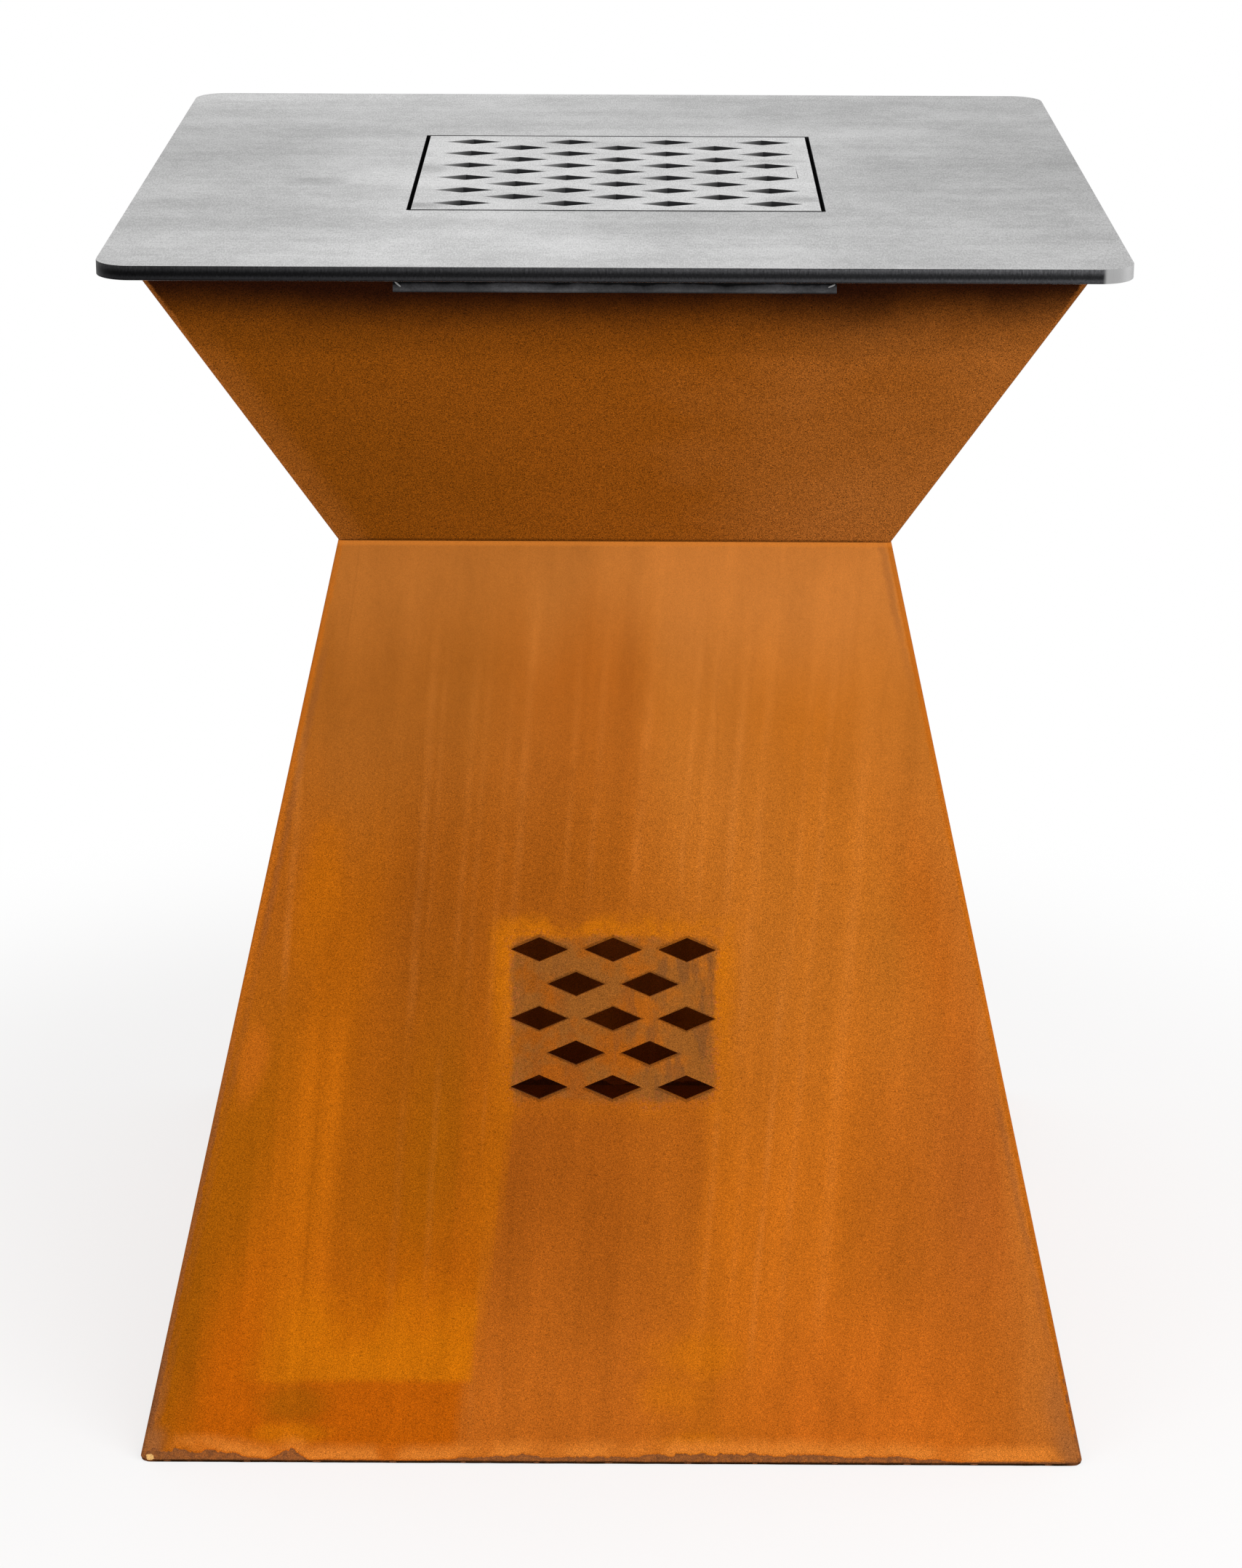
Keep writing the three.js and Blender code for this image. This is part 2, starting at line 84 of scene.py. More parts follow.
class WeatheringSteel(bpy.types.PropertyGroup):
    """Tones and grain of the rust patina on the pedestal and the bowl."""

    khaki: colour_property("Khaki", "Oldest, greenest patina", display(156, 84, 5))
    olive: colour_property("Olive", "Old patina, a little warmer", display(163, 85, 8))
    ochre: colour_property("Ochre", "Yellower bands", display(174, 92, 8))
    yellow: colour_property("Yellow", "Bands where water stood", display(194, 107, 6))
    brown: colour_property("Brown", "Reddish run-off", display(157, 81, 17))
    clay: colour_property("Clay", "Between brown and rust", display(168, 89, 20))
    rust: colour_property("Rust", "Middle tone", display(181, 97, 18))
    bright: colour_property("Bright rust", "Fresh rust", display(189, 102, 22))
    umber: colour_property("Umber", "Dull bands", display(179, 95, 24))
    dun: colour_property("Dun", "Dull, greyer bands", display(173, 91, 28))
    straw: colour_property("Straw", "Light bands along the right edge", display(183, 103, 35))
    ember: colour_property("Ember", "Orange foot, left", display(181, 88, 5))
    flame: colour_property("Flame", "Orange foot, right", display(191, 99, 23))
    tan: colour_property("Tan", "Middle height, left", display(151, 79, 15))
    tawny: colour_property("Tawny", "Middle height, centre", display(163, 87, 18))
    copper: colour_property("Copper", "Middle height, right", display(179, 101, 28))
    sand: colour_property("Sand", "Upper part, left", display(158, 90, 28))
    caramel: colour_property("Caramel", "Upper part, centre", display(168, 92, 27))
    wheat: colour_property("Wheat", "Upper part, right", display(181, 105, 35))
    haze: colour_property("Haze", "Pale patina at the neck, left", display(175, 104, 40))
    bloom: colour_property("Bloom", "Pale patina at the neck, right", display(192, 116, 49))
    # Also a painted highlight along the top edge of the pedestal
    fresh: colour_property("Fresh line", "Light line above the foot", display(212, 124, 44))
    stain: colour_property("Stain", "Brown line where water dries", display(122, 74, 42))
    film: colour_property("Film", "Grey-brown film round the stains", display(156, 94, 46))
    bare: colour_property("Bare chip", "Where the patina has chipped off", display(231, 182, 112))
    # Also painted shade: the strips under the walls, the very foot of the walls and the vents' cut faces
    crust: colour_property("Crust", "Dark scale in the joint at the ground", display(40, 22, 6))
    scorch: colour_property("Scorch", "Olive steel between the vents", display(140, 85, 33))
    blued: colour_property("Blued", "Bluish steel under the vents", display(112, 70, 36))
    clinker: colour_property("Clinker", "Pinkish specks round the vents", display(160, 86, 38))
    # Also painted shade on the bowl under the plate
    soot: colour_property("Soot", "Heat-darkened patina under the plate", display(38, 13, 2))
    bowl_dark: colour_property("Bowl, dark", "Darker tone of the bowl", display(126, 67, 7))
    bowl: colour_property("Bowl", "Main tone of the bowl", display(137, 73, 12))
    bowl_light: colour_property("Bowl, light", "Lighter tone of the bowl", display(156, 90, 33))
    grain_size: length_property("Grain size", "Size of the finest speckle", 0.0007)
    streak_width: length_property("Streak width", "Usual width of a run of rust", 0.004)
    grain_height: length_property("Grain height", "Relief of the scale", 0.00012)


class PlateSteel(bpy.types.PropertyGroup):
    """Tones and lines of the raw plate steel."""

    top: colour_property("Top", "Brushed top of the plate", display(181, 181, 181))
    grate: colour_property("Grate", "Brushed top of the grate", display(203, 203, 203))
    # Painted sheen on the brushed tops, and painted light on the grate's hole walls that face right
    light: colour_property("Light", "Where the brush went last", display(208, 208, 208))
    # Painted shade on the brushed tops, with grease and heat marks; also the tone of the lip's weld beads
    smudge: colour_property("Smudge", "Grease and heat marks", display(157, 157, 157))
    edge: colour_property("Cut edge", "Middle of the cut edge", display(26, 26, 27))
    edge_top: colour_property("Cut edge, top", "Striped upper part of the edge", display(72, 72, 74))
    edge_low: colour_property("Cut edge, foot", "Lower part of the edge", display(54, 54, 56))
    hole_lit: colour_property("Hole walls", "Lighter walls of the grate's holes", display(112, 112, 113))
    # A painted highlight along the rims of the grate's holes
    burr: colour_property("Burr", "Polished burr along the holes", display(238, 238, 238))
    tray: colour_property("Tray", "Mill scale on the fire tray", display(80, 80, 82))
    # Painted shade near the top of the tray, under the plate
    tray_dark: colour_property("Tray, dark", "Scale in the folds of the tray", display(34, 34, 36))
    zinc: colour_property("Zinc", "Plating of the fasteners", display(176, 178, 182))
    brush_width: length_property("Brush line", "Width of one brush line", 0.0016)
    cut_line: length_property("Cut line", "Pitch of the cutting marks on the edge", 0.0011)


class SmallParts(bpy.types.PropertyGroup):
    """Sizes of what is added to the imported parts."""

    edge: length_property("Edge", "Roundness of sheared and cut edges", 0.0004)
    hole_edge: length_property("Hole edge", "Roundness of the grate's holes", 0.0005)
    tack_pitch: length_property("Tack pitch", "Distance between tack welds at the ground", 0.0545)
    tack_length: length_property("Tack length", "Length of one tack weld", 0.0065)


class Studio(bpy.types.PropertyGroup):
    """Camera, floor and lights."""

    floor: colour_property("Floor", "Colour of the floor", (0.90, 0.90, 0.90))
    world: factor_property("World", "Light from all round", 0.70)
    key: factor_property("Key", "Power of the large lamp over the right side", 48.0)
    side: factor_property("Side", "Power of the upright lamp on the right", 6.0)
    fill: factor_property("Fill", "Power of the lamp on the left", 20.0)
    glow: factor_property("Glow", "Power of the dim light inside the pedestal", 0.26)
    lens: FloatProperty(name="Lens", description="Focal length", default=91.87, unit="CAMERA")
    camera_place: FloatVectorProperty(
        name="Camera", description="Place of the camera", default=(0.0113, -2.9904, 1.4520), unit="LENGTH"
    )
    camera_turn: FloatVectorProperty(
        name="Camera turn",
        description="Pitch down, yaw and roll of the camera",
        default=(math.radians(19.16), math.radians(0.126), math.radians(0.206)),
        subtype="EULER",
    )


def values(context):
    return context.scene.fire_pit


# ---- Shader nodes -----------------------------------------------------------------------------


class Sheet:
    """A node tree, with short ways to add nodes and join them."""

    def __init__(self, tree):
        self.tree = tree

    def put(self, socket, value):
        if isinstance(value, bpy.types.NodeSocket):
            self.tree.links.new(value, socket)
        elif socket.type == "RGBA" and len(value) == 3:
            socket.default_value = (*value, 1)
        else:
            socket.default_value = value

    def add(self, kind, inputs=None, **settings):
        node = self.tree.nodes.new(kind)
        for name, value in settings.items():
            setattr(node, name, value)
        for key, value in (inputs or {}).items():
            self.put(node.inputs[key], value)
        return node

    def group(self, tree, **inputs):
        node = self.add("ShaderNodeGroup", node_tree=tree)
        for name, value in inputs.items():
            self.put(node.inputs[name.replace("_", " ").capitalize()], value)
        return node

    def maths(self, operation, first, second=0.0, third=0.0, clamp=False):
        inputs = {0: first, 1: second, 2: third}
        return self.add("ShaderNodeMath", inputs, operation=operation, use_clamp=clamp).outputs[0]

    def product(self, first, *others):
        for other in others:
            first = self.maths("MULTIPLY", first, other)
        return first

    def minus(self, first, second):
        return self.maths("SUBTRACT", first, second)

    def size_of(self, value):
        return self.maths("ABSOLUTE", value)

    def centred(self, value):
        """A value from 0 to 1, moved so that it swings round zero."""
        return self.minus(value, 0.5)

    def nudged(self, value, by, amount):
        """A value plus a share of another."""
        return self.maths("MULTIPLY_ADD", by, amount, value)

    def ramp(self, value, low, high, to_low=0.0, to_high=1.0, smooth=True):
        inputs = {"Value": value, "From Min": low, "From Max": high, "To Min": to_low, "To Max": to_high}
        kind = "SMOOTHSTEP" if smooth else "LINEAR"
        return self.add("ShaderNodeMapRange", inputs, interpolation_type=kind).outputs["Result"]

    def mix(self, factor, first, second, blend="MIX"):
        node = self.add("ShaderNodeMix", data_type="RGBA", blend_type=blend)
        self.put(node.inputs[0], factor)
        self.put(node.inputs[6], first)
        self.put(node.inputs[7], second)
        return node.outputs[2]

    def tinted(self, colour, tone, *masks):
        """A colour with a tone laid over it where all the masks are 1."""
        return self.mix(self.product(*masks), colour, tone)

    def dimmed(self, colour, factor):
        return self.mix(1.0, colour, self.join(factor, factor, factor), "MULTIPLY")

    def blend(self, factor, first, second):
        return self.add("ShaderNodeMix", {0: factor, 2: first, 3: second}, data_type="FLOAT").outputs[0]

    def split(self, vector):
        return self.add("ShaderNodeSeparateXYZ", {0: vector}).outputs

    def join(self, x, y, z):
        return self.add("ShaderNodeCombineXYZ", {0: x, 1: y, 2: z}).outputs[0]

    def scaled(self, vector, scale):
        inputs = {0: vector, 1: scale}
        return self.add("ShaderNodeVectorMath", inputs, operation="MULTIPLY").outputs[0]

    def noise(self, vector, scale=1.0, detail=3.0, roughness=0.5):
        inputs = {"Vector": vector, "Scale": scale, "Detail": detail, "Roughness": roughness}
        return self.add("ShaderNodeTexNoise", inputs).outputs["Fac"]

    def swing(self, *noise):
        """Noise that swings round zero."""
        return self.centred(self.noise(*noise))

    def place(self):
        return self.add("ShaderNodeTexCoord").outputs["Object"]

    def facing(self):
        return self.add("ShaderNodeTexCoord").outputs["Normal"]


NO_VECTOR = (0, 0, 0)


def new_group(name, inputs, outputs, vectors=()):
    """A shader node group. Inputs are names with defaults, and outputs are numbers, then vectors."""
    tree = bpy.data.node_groups.new(name, "ShaderNodeTree")
    for label, default in inputs.items():
        kind = "NodeSocketVector" if default is NO_VECTOR else "NodeSocketFloat"
        tree.interface.new_socket(label, in_out="INPUT", socket_type=kind).default_value = default
    for label in (*outputs, *vectors):
        kind = "NodeSocketVector" if label in vectors else "NodeSocketFloat"
        tree.interface.new_socket(label, in_out="OUTPUT", socket_type=kind)
    sheet = Sheet(tree)
    entry = sheet.add("NodeGroupInput").outputs
    ends = sheet.add("NodeGroupOutput").inputs
    return sheet, entry, ends


def once(build):
    """Runs a group's builder the first time only, and hands out the same group afterwards."""
    made = {}

    def get():
        if build not in made:
            made[build] = build()
        return made[build]

    return get


@once
def wall_coordinates():
    """Where a point lies on the wall of a square taper that it belongs to."""
    sheet, entry, ends = new_group(
        "Wall coordinates",
        {"Foot height": 0.0, "Top height": 1.0, "Foot half width": 0.35, "Top half width": 0.2},
        ("Across", "Up", "Height", "Edge distance"),
        ("Plumb", "Seeded"),
    )
    place = sheet.place()
    x, y, z = sheet.split(place)
    nx, ny, _ = sheet.split(sheet.facing())
    on_side = sheet.maths("GREATER_THAN", sheet.size_of(nx), sheet.size_of(ny))
    turn_x, turn_y = sheet.maths("SIGN", nx), sheet.maths("SIGN", ny)
    on_front = sheet.product(x, turn_y, -1.0)
    along = sheet.blend(on_side, on_front, sheet.product(y, turn_x))
    heights = (entry["Foot height"], entry["Top height"])
    half = sheet.ramp(z, *heights, entry["Foot half width"], entry["Top half width"], smooth=False)
    across = sheet.maths("DIVIDE", along, half)
    seed = sheet.blend(on_side, sheet.product(turn_y, 1.7), sheet.maths("MULTIPLY_ADD", turn_x, 1.7, 5.0))
    sheet.put(ends["Across"], across)
    sheet.put(ends["Up"], sheet.ramp(z, *heights, smooth=False))
    sheet.put(ends["Height"], sheet.minus(z, entry["Foot height"]))
    sheet.put(ends["Edge distance"], sheet.minus(half, sheet.size_of(along)))
    plumb = sheet.nudged(along, sheet.minus(z, RUN_LEVEL), -RUN_LEAN)
    sheet.put(ends["Plumb"], sheet.join(plumb, seed, z))
    offset = sheet.join(seed, seed, seed)
    seeded = sheet.add("ShaderNodeVectorMath", {0: place, 1: offset}, operation="ADD").outputs[0]
    sheet.put(ends["Seeded"], seeded)
    return sheet.tree


@once
def soft_patch():
    """A mask that fades out round one place on a surface, with a ragged outline."""
    sheet, entry, ends = new_group(
        "Soft patch",
        {
            "Across": 0.0, "Up": 0.0, "Centre across": 0.0, "Centre up": 0.5, "Reach across": 0.2,
            "Reach up": 0.2, "Softness": 0.8, "Seeded": NO_VECTOR, "Ragged": 0.3,
        },
        ("Mask",),
    )

    def share(value, centre, reach):
        return sheet.maths("DIVIDE", sheet.minus(entry[value], entry[centre]), entry[reach])

    wide = share("Across", "Centre across", "Reach across")
    tall = share("Up", "Centre up", "Reach up")
    distance = sheet.maths("SQRT", sheet.maths("ADD", sheet.product(wide, wide), sheet.product(tall, tall)))
    wobble = sheet.swing(entry["Seeded"], 18.0, 6.0, 0.7)
    distance = sheet.nudged(distance, wobble, entry["Ragged"])
    inner = sheet.minus(1.05, entry["Softness"])
    sheet.put(ends["Mask"], sheet.ramp(distance, 1.05, inner))
    return sheet.tree


@once
def water_shelf():
    """A band where water stood: a sharp foot, and a soft top and left end."""
    sheet, entry, ends = new_group(
        "Water shelf",
        {
            "Across": 0.0, "Up": 0.0, "Left": -0.5, "Right": 0.5, "Foot": 0.1, "Top": 0.2,
            "Seeded": NO_VECTOR,
        },
        ("Mask",),
    )
    wobble = sheet.swing(entry["Seeded"], 22.0, 5.0, 0.6)
    up = sheet.nudged(entry["Up"], wobble, 0.018)
    over_foot = sheet.minus(up, entry["Foot"])
    under_top = sheet.minus(entry["Top"], sheet.nudged(up, wobble, 0.12))
    past_left = sheet.minus(sheet.nudged(entry["Across"], wobble, 0.2), entry["Left"])
    past_right = sheet.minus(entry["Right"], sheet.nudged(entry["Across"], wobble, 0.03))
    mask = sheet.product(
        sheet.ramp(over_foot, -0.003, 0.008),
        sheet.ramp(under_top, 0.0, 0.095),
        sheet.ramp(past_left, 0.0, 0.24),
        sheet.ramp(past_right, -0.012, 0.012),
    )
    sheet.put(ends["Mask"], mask)
    return sheet.tree


@once
def rust_grain():
    """Fine speckle and soft clouds, as a factor on a colour, and the relief that goes with them."""
    sheet, entry, ends = new_group(
        "Rust grain",
        {"Seeded": NO_VECTOR, "Size": 0.0014, "Contrast": 0.2},
        ("Factor", "Height"),
    )
    fine = sheet.noise(entry["Seeded"], sheet.maths("DIVIDE", 1.0, entry["Size"]), 2.0, 0.6)
    coarse = sheet.noise(entry["Seeded"], sheet.maths("DIVIDE", 0.4, entry["Size"]), 3.0, 0.6)
    both = sheet.maths("ADD", sheet.product(fine, 0.85), sheet.product(coarse, 0.15))
    spread = sheet.centred(both)
    sheet.put(ends["Factor"], sheet.maths("MULTIPLY_ADD", spread, entry["Contrast"], 1.0))
    sheet.put(ends["Height"], both)
    return sheet.tree


@once
def run_streaks():
    """Runs down a wall, in irregular widths."""
    sheet, entry, ends = new_group(
        "Run streaks",
        {"Plumb": NO_VECTOR, "Width": 0.016, "Length": 0.4, "Least": 0.5},
        ("Mask",),
    )
    x, y, z = sheet.split(entry["Plumb"])
    stretched = sheet.join(
        sheet.maths("DIVIDE", x, entry["Width"]), y, sheet.maths("DIVIDE", z, entry["Length"])
    )
    low = sheet.minus(entry["Least"], 0.16)
    high = sheet.maths("ADD", entry["Least"], 0.16)
    sheet.put(ends["Mask"], sheet.ramp(sheet.noise(stretched, 0.6, 3.0, 0.55), low, high))
    return sheet.tree


@once
def single_run():
    """One run down a wall, fading out at both ends."""
    sheet, entry, ends = new_group(
        "Single run",
        {"Along": 0.0, "Up": 0.0, "Centre": 0.0, "Half width": 0.003, "Foot": 0.2, "Top": 0.8},
        ("Mask",),
    )
    distance = sheet.size_of(sheet.minus(entry["Along"], entry["Centre"]))
    mask = sheet.product(
        sheet.ramp(distance, sheet.maths("MULTIPLY", entry["Half width"], 1.6), 0.0),
        sheet.ramp(sheet.minus(entry["Up"], entry["Foot"]), 0.0, 0.10),
        sheet.ramp(sheet.minus(entry["Top"], entry["Up"]), 0.0, 0.10),
    )
    sheet.put(ends["Mask"], mask)
    return sheet.tree


@once
def tide_marks():
    """Thin wandering lines, left by the rims of drying water."""
    sheet, entry, ends = new_group(
        "Tide marks",
        {"Seeded": NO_VECTOR, "Plumb": NO_VECTOR},
        ("Mask",),
    )
    field = sheet.noise(sheet.scaled(entry["Plumb"], (11.0, 1.0, 2.6)), 1.0, 3.0, 0.5)
    distance = sheet.size_of(sheet.centred(field))
    line = sheet.ramp(distance, 0.014, 0.002)
    broken_up = sheet.ramp(sheet.noise(entry["Seeded"], 7.0, 3.0), 0.5, 0.62)
    sheet.put(ends["Mask"], sheet.product(line, broken_up))
    return sheet.tree


@once
def vent_marks():
    """Marks round a field of lozenge vents: a scorched field, a yellow halo, rims and run-off."""
    sheet, entry, ends = new_group(
        "Vent marks",
        {"Centre height": 0.3, "Half width": 0.07, "Half height": 0.06},
        ("Field", "Halo", "Rims", "Within", "Run off", "Specks", "Blued"),
    )
    place = sheet.place()
    x, _, z = sheet.split(place)
    up = sheet.minus(z, entry["Centre height"])
    wobble = sheet.swing(place, 70.0, 4.0, 0.65)
    clouds = sheet.noise(place, 26.0, 4.0, 0.65)
    over_x = sheet.minus(sheet.size_of(x), entry["Half width"])
    over_z = sheet.minus(sheet.size_of(up), entry["Half height"])
    outside = sheet.maths("SMOOTH_MAX", over_x, over_z, 0.02)
    ragged = sheet.nudged(outside, wobble, 0.012)
    field = sheet.ramp(ragged, 0.002, -0.003)
    sheet.put(ends["Field"], sheet.product(field, sheet.ramp(clouds, 0.36, 0.56)))
    halo = sheet.product(sheet.ramp(ragged, -0.005, 0.001), sheet.ramp(ragged, 0.020, 0.004))
    halo = sheet.product(halo, sheet.ramp(up, -0.07, 0.04, 0.25, 1.0))
    sheet.put(ends["Halo"], sheet.product(halo, sheet.ramp(clouds, 0.34, 0.52)))
    crumbs = sheet.ramp(sheet.noise(place, 420.0, 3.0, 0.7), 0.5, 0.6)
    near_rim = sheet.product(sheet.ramp(ragged, -0.012, -0.002), sheet.ramp(ragged, 0.007, 0.001))
    sheet.put(ends["Specks"], sheet.product(crumbs, near_rim, sheet.ramp(clouds, 0.42, 0.56)))
    runs = sheet.noise(sheet.scaled(place, (85.0, 85.0, 16.0)), 1.0, 3.0, 0.6)
    right = sheet.ramp(x, -0.02, 0.045, 0.35, 1.0)
    sheet.put(ends["Blued"], sheet.product(field, sheet.ramp(runs, 0.5, 0.62), right))

    lattice = lattice_of(sheet, x, up, VENT_PITCH, VENT_HALF_SIZE)
    past_rows = sheet.maths("GREATER_THAN", sheet.size_of(x), VENT_PITCH[0])
    nearest = sheet.nudged(lattice["Nearest"], sheet.product(lattice["Between"], past_rows), 9.0)
    frayed = sheet.swing(place, 520.0, 3.0, 0.7)
    nearest = sheet.nudged(nearest, frayed, 0.40)
    inside = sheet.maths("LESS_THAN", sheet.maths("MAXIMUM", over_x, over_z), 0.0035)
    sheet.put(ends["Rims"], sheet.product(sheet.ramp(nearest, 1.13, 1.03), inside))
    sheet.put(ends["Within"], inside)

    below = sheet.maths("ADD", up, entry["Half height"])
    drop = sheet.product(sheet.ramp(below, 0.008, -0.004), sheet.ramp(below, -0.12, -0.005))
    near_x = sheet.maths("PINGPONG", x, VENT_PITCH[0] / 2)
    under = sheet.ramp(sheet.nudged(near_x, wobble, 0.012), 0.022, 0.004)
    drop = sheet.product(drop, under, sheet.ramp(sheet.size_of(x), 0.085, 0.07))
    sheet.put(ends["Run off"], drop)
    return sheet.tree


@once
def wall_borders():
    """Masks near a wall's borders: corner, weld seam, foot stain, the light line over it, painted foot shade.
    """
    sheet, entry, ends = new_group(
        "Wall borders",
        {"Edge distance": 1.0, "Height": 1.0, "Stain reach": 0.0, "Seeded": NO_VECTOR},
        ("Corner", "Seam", "Stain", "Shaded foot", "Film", "Light line"),
    )
    seeded, edge, height = entry["Seeded"], entry["Edge distance"], entry["Height"]
    wobble = sheet.swing(seeded, 85.0, 5.0, 0.7)
    fine = sheet.swing(seeded, 420.0, 3.0, 0.7)
    present = sheet.ramp(sheet.noise(seeded, 5.0, 3.0), 0.44, 0.56)
    wobble = sheet.nudged(wobble, fine, 0.4)
    from_edge = sheet.nudged(edge, wobble, 0.006)
    sheet.put(ends["Corner"], sheet.ramp(from_edge, 0.0055, 0.003))
    seam = sheet.product(sheet.ramp(from_edge, 0.004, 0.007), sheet.ramp(from_edge, 0.012, 0.008))
    sheet.put(ends["Seam"], sheet.product(seam, present))

    tongues = sheet.noise(sheet.scaled(seeded, (110.0, 110.0, 30.0)), 1.0, 3.0, 0.6)
    rise = sheet.product(sheet.ramp(tongues, 0.30, 0.70, 0.75, 1.25), entry["Stain reach"])
    above = sheet.nudged(height, wobble, 0.0016)
    above = sheet.minus(above, rise)
    foot = sheet.ramp(above, 0.0004, -0.0005)
    rim = sheet.product(foot, sheet.ramp(above, -0.0022, -0.0008))
    side = sheet.product(sheet.ramp(from_edge, 0.0025, 0.0012), sheet.ramp(height, 0.12, 0.05))
    mottle = sheet.ramp(sheet.noise(seeded, 240.0, 4.0, 0.7), 0.36, 0.62, 0.25, 1.0)
    stain = sheet.product(sheet.maths("MAXIMUM", foot, side), mottle)
    sheet.put(ends["Stain"], sheet.maths("MAXIMUM", stain, sheet.product(rim, 0.85)))
    # Painted shade at the very foot of the wall, over the dark joint, where its bottom edge would catch light
    sheet.put(ends["Shaded foot"], sheet.ramp(sheet.nudged(height, wobble, 0.0012), 0.0011, 0.0004))
    corner_film = sheet.product(sheet.ramp(from_edge, 0.020, 0.008), sheet.ramp(height, 0.030, 0.014))
    sheet.put(ends["Film"], sheet.maths("MAXIMUM", corner_film, foot))
    glow = sheet.product(sheet.ramp(above, -0.0005, 0.002), sheet.ramp(above, 0.016, 0.003))
    glow = sheet.product(glow, sheet.ramp(edge, 0.012, 0.035))
    broken = sheet.ramp(sheet.noise(seeded, 26.0, 4.0), 0.28, 0.52, 0.25, 1.0)
    sheet.put(ends["Light line"], sheet.product(glow, broken))
    return sheet.tree


@once
def lozenges():
    """How far a point is from the nearest lozenge of a staggered lattice: 1 on its outline."""
    sheet, entry, ends = new_group(
        "Lozenges",
        {
            "Across": 0.0, "Up": 0.0, "Half pitch across": 0.027, "Half pitch up": 0.0255,
            "Half width": 0.021, "Half height": 0.009,
        },
        ("Nearest", "Tip", "Between"),
    )
    near = [
        sheet.maths("PINGPONG", entry["Across"], entry["Half pitch across"]),
        sheet.maths("PINGPONG", entry["Up"], entry["Half pitch up"]),
    ]
    far = [
        sheet.minus(entry["Half pitch across"], near[0]),
        sheet.minus(entry["Half pitch up"], near[1]),
    ]

    def measure(from_middle):
        wide = sheet.maths("DIVIDE", from_middle[0], entry["Half width"])
        tall = sheet.maths("DIVIDE", from_middle[1], entry["Half height"])
        return sheet.maths("ADD", wide, tall), wide

    (first, first_tip), (second, second_tip) = measure(near), measure(far)
    between = sheet.maths("LESS_THAN", second, first)
    sheet.put(ends["Nearest"], sheet.maths("MINIMUM", first, second))
    sheet.put(ends["Tip"], sheet.blend(between, first_tip, second_tip))
    sheet.put(ends["Between"], between)
    return sheet.tree


@once
def cut_face():
    """Splits a cut plate into its flat faces and its cut edge, and marks the cut edge with lines."""
    sheet, entry, ends = new_group(
        "Cut face",
        {"Top height": 0.9, "Thickness": 0.01, "Line pitch": 0.0011},
        ("Edge", "Upper", "Lower", "Lines"),
    )
    x, y, z = sheet.split(sheet.place())
    _, _, nz = sheet.split(sheet.facing())
    sheet.put(ends["Edge"], sheet.ramp(sheet.size_of(nz), 0.75, 0.45))
    depth = sheet.maths("DIVIDE", sheet.minus(entry["Top height"], z), entry["Thickness"])
    fray = sheet.swing(sheet.join(x, y, 0.0), 600.0, 4.0, 0.65)
    frayed = sheet.nudged(depth, fray, 0.35)
    sheet.put(ends["Upper"], sheet.ramp(frayed, 0.50, 0.06))
    sheet.put(ends["Lower"], sheet.product(sheet.ramp(frayed, 0.60, 0.82), sheet.ramp(depth, 0.98, 0.86)))
    scale = sheet.maths("DIVIDE", 1.0, entry["Line pitch"])
    sheet.put(ends["Lines"], sheet.noise(sheet.join(x, y, sheet.product(z, 0.12)), scale, 3.0, 0.6))
    return sheet.tree


@once
def brushed():
    """Long fine lines left by the brush, with grain, softer bands and clouds."""
    sheet, entry, ends = new_group(
        "Brushed steel",
        {"Line width": 0.0016},
        ("Lines", "Grain", "Scuffs", "Bands", "Clouds"),
    )
    place = sheet.place()
    x, y, _ = sheet.split(place)
    across = sheet.maths("DIVIDE", y, entry["Line width"])
    sheet.put(ends["Lines"], sheet.noise(sheet.join(sheet.product(x, 30.0), across, 0.0), 0.5, 2.0, 0.6))
    sheet.put(ends["Grain"], sheet.noise(sheet.scaled(place, (950.0, 190.0, 950.0)), 1.0, 2.0, 0.6))
    sheet.put(ends["Scuffs"], sheet.noise(sheet.scaled(place, (130.0, 60.0, 130.0)), 1.0, 4.0, 0.7))
    sheet.put(ends["Bands"], sheet.noise(sheet.join(sheet.product(x, 3.2), sheet.product(y, 26.0), 2.0), 1.0))
    sheet.put(ends["Clouds"], sheet.noise(sheet.join(x, y, 7.0), 14.0, 6.0, 0.65))
    return sheet.tree


def empty_material(name):
    material = bpy.data.materials.new(name)
    material.use_nodes = True
    material.node_tree.nodes.clear()
    return material, Sheet(material.node_tree)


def new_material(name):
    """A material with a Principled BSDF, as (material, sheet, shader)."""
    material, sheet = empty_material(name)
    shader = sheet.add("ShaderNodeBsdfPrincipled")
    sheet.add("ShaderNodeOutputMaterial", {"Surface": shader.outputs["BSDF"]})
    return material, sheet, shader


def relief(sheet, shader, height, distance, strength=1.0):
    bump = sheet.add("ShaderNodeBump", {"Strength": strength, "Distance": distance, "Height": height})
    sheet.put(shader.inputs["Normal"], bump.outputs["Normal"])


# ---- Weathering steel -------------------------------------------------------------------------

Taper = namedtuple("Taper", "foot_height top_height foot_half_width top_half_width")
Field = namedtuple("Field", "centre_height half_width half_height")
Patch = namedtuple("Patch", "tone across up reach_across reach_up strength softness")

# Lozenge vents in the front wall, in metres, as in the solid part
VENTS = Field(0.327, 0.075, 0.060)
VENT_PITCH = (0.054, 0.051)
VENT_HALF_SIZE = (0.021, 0.009)

# How far runs move sideways as they go up, as a share of the height
RUN_LEAN = 0.075
# The height at which a run passes through its own centre, in metres
RUN_LEVEL = 0.35

# A bare chip at the left foot corner, in metres
CHIP_PLACE = (-0.3423, -0.3495, 0.0036)

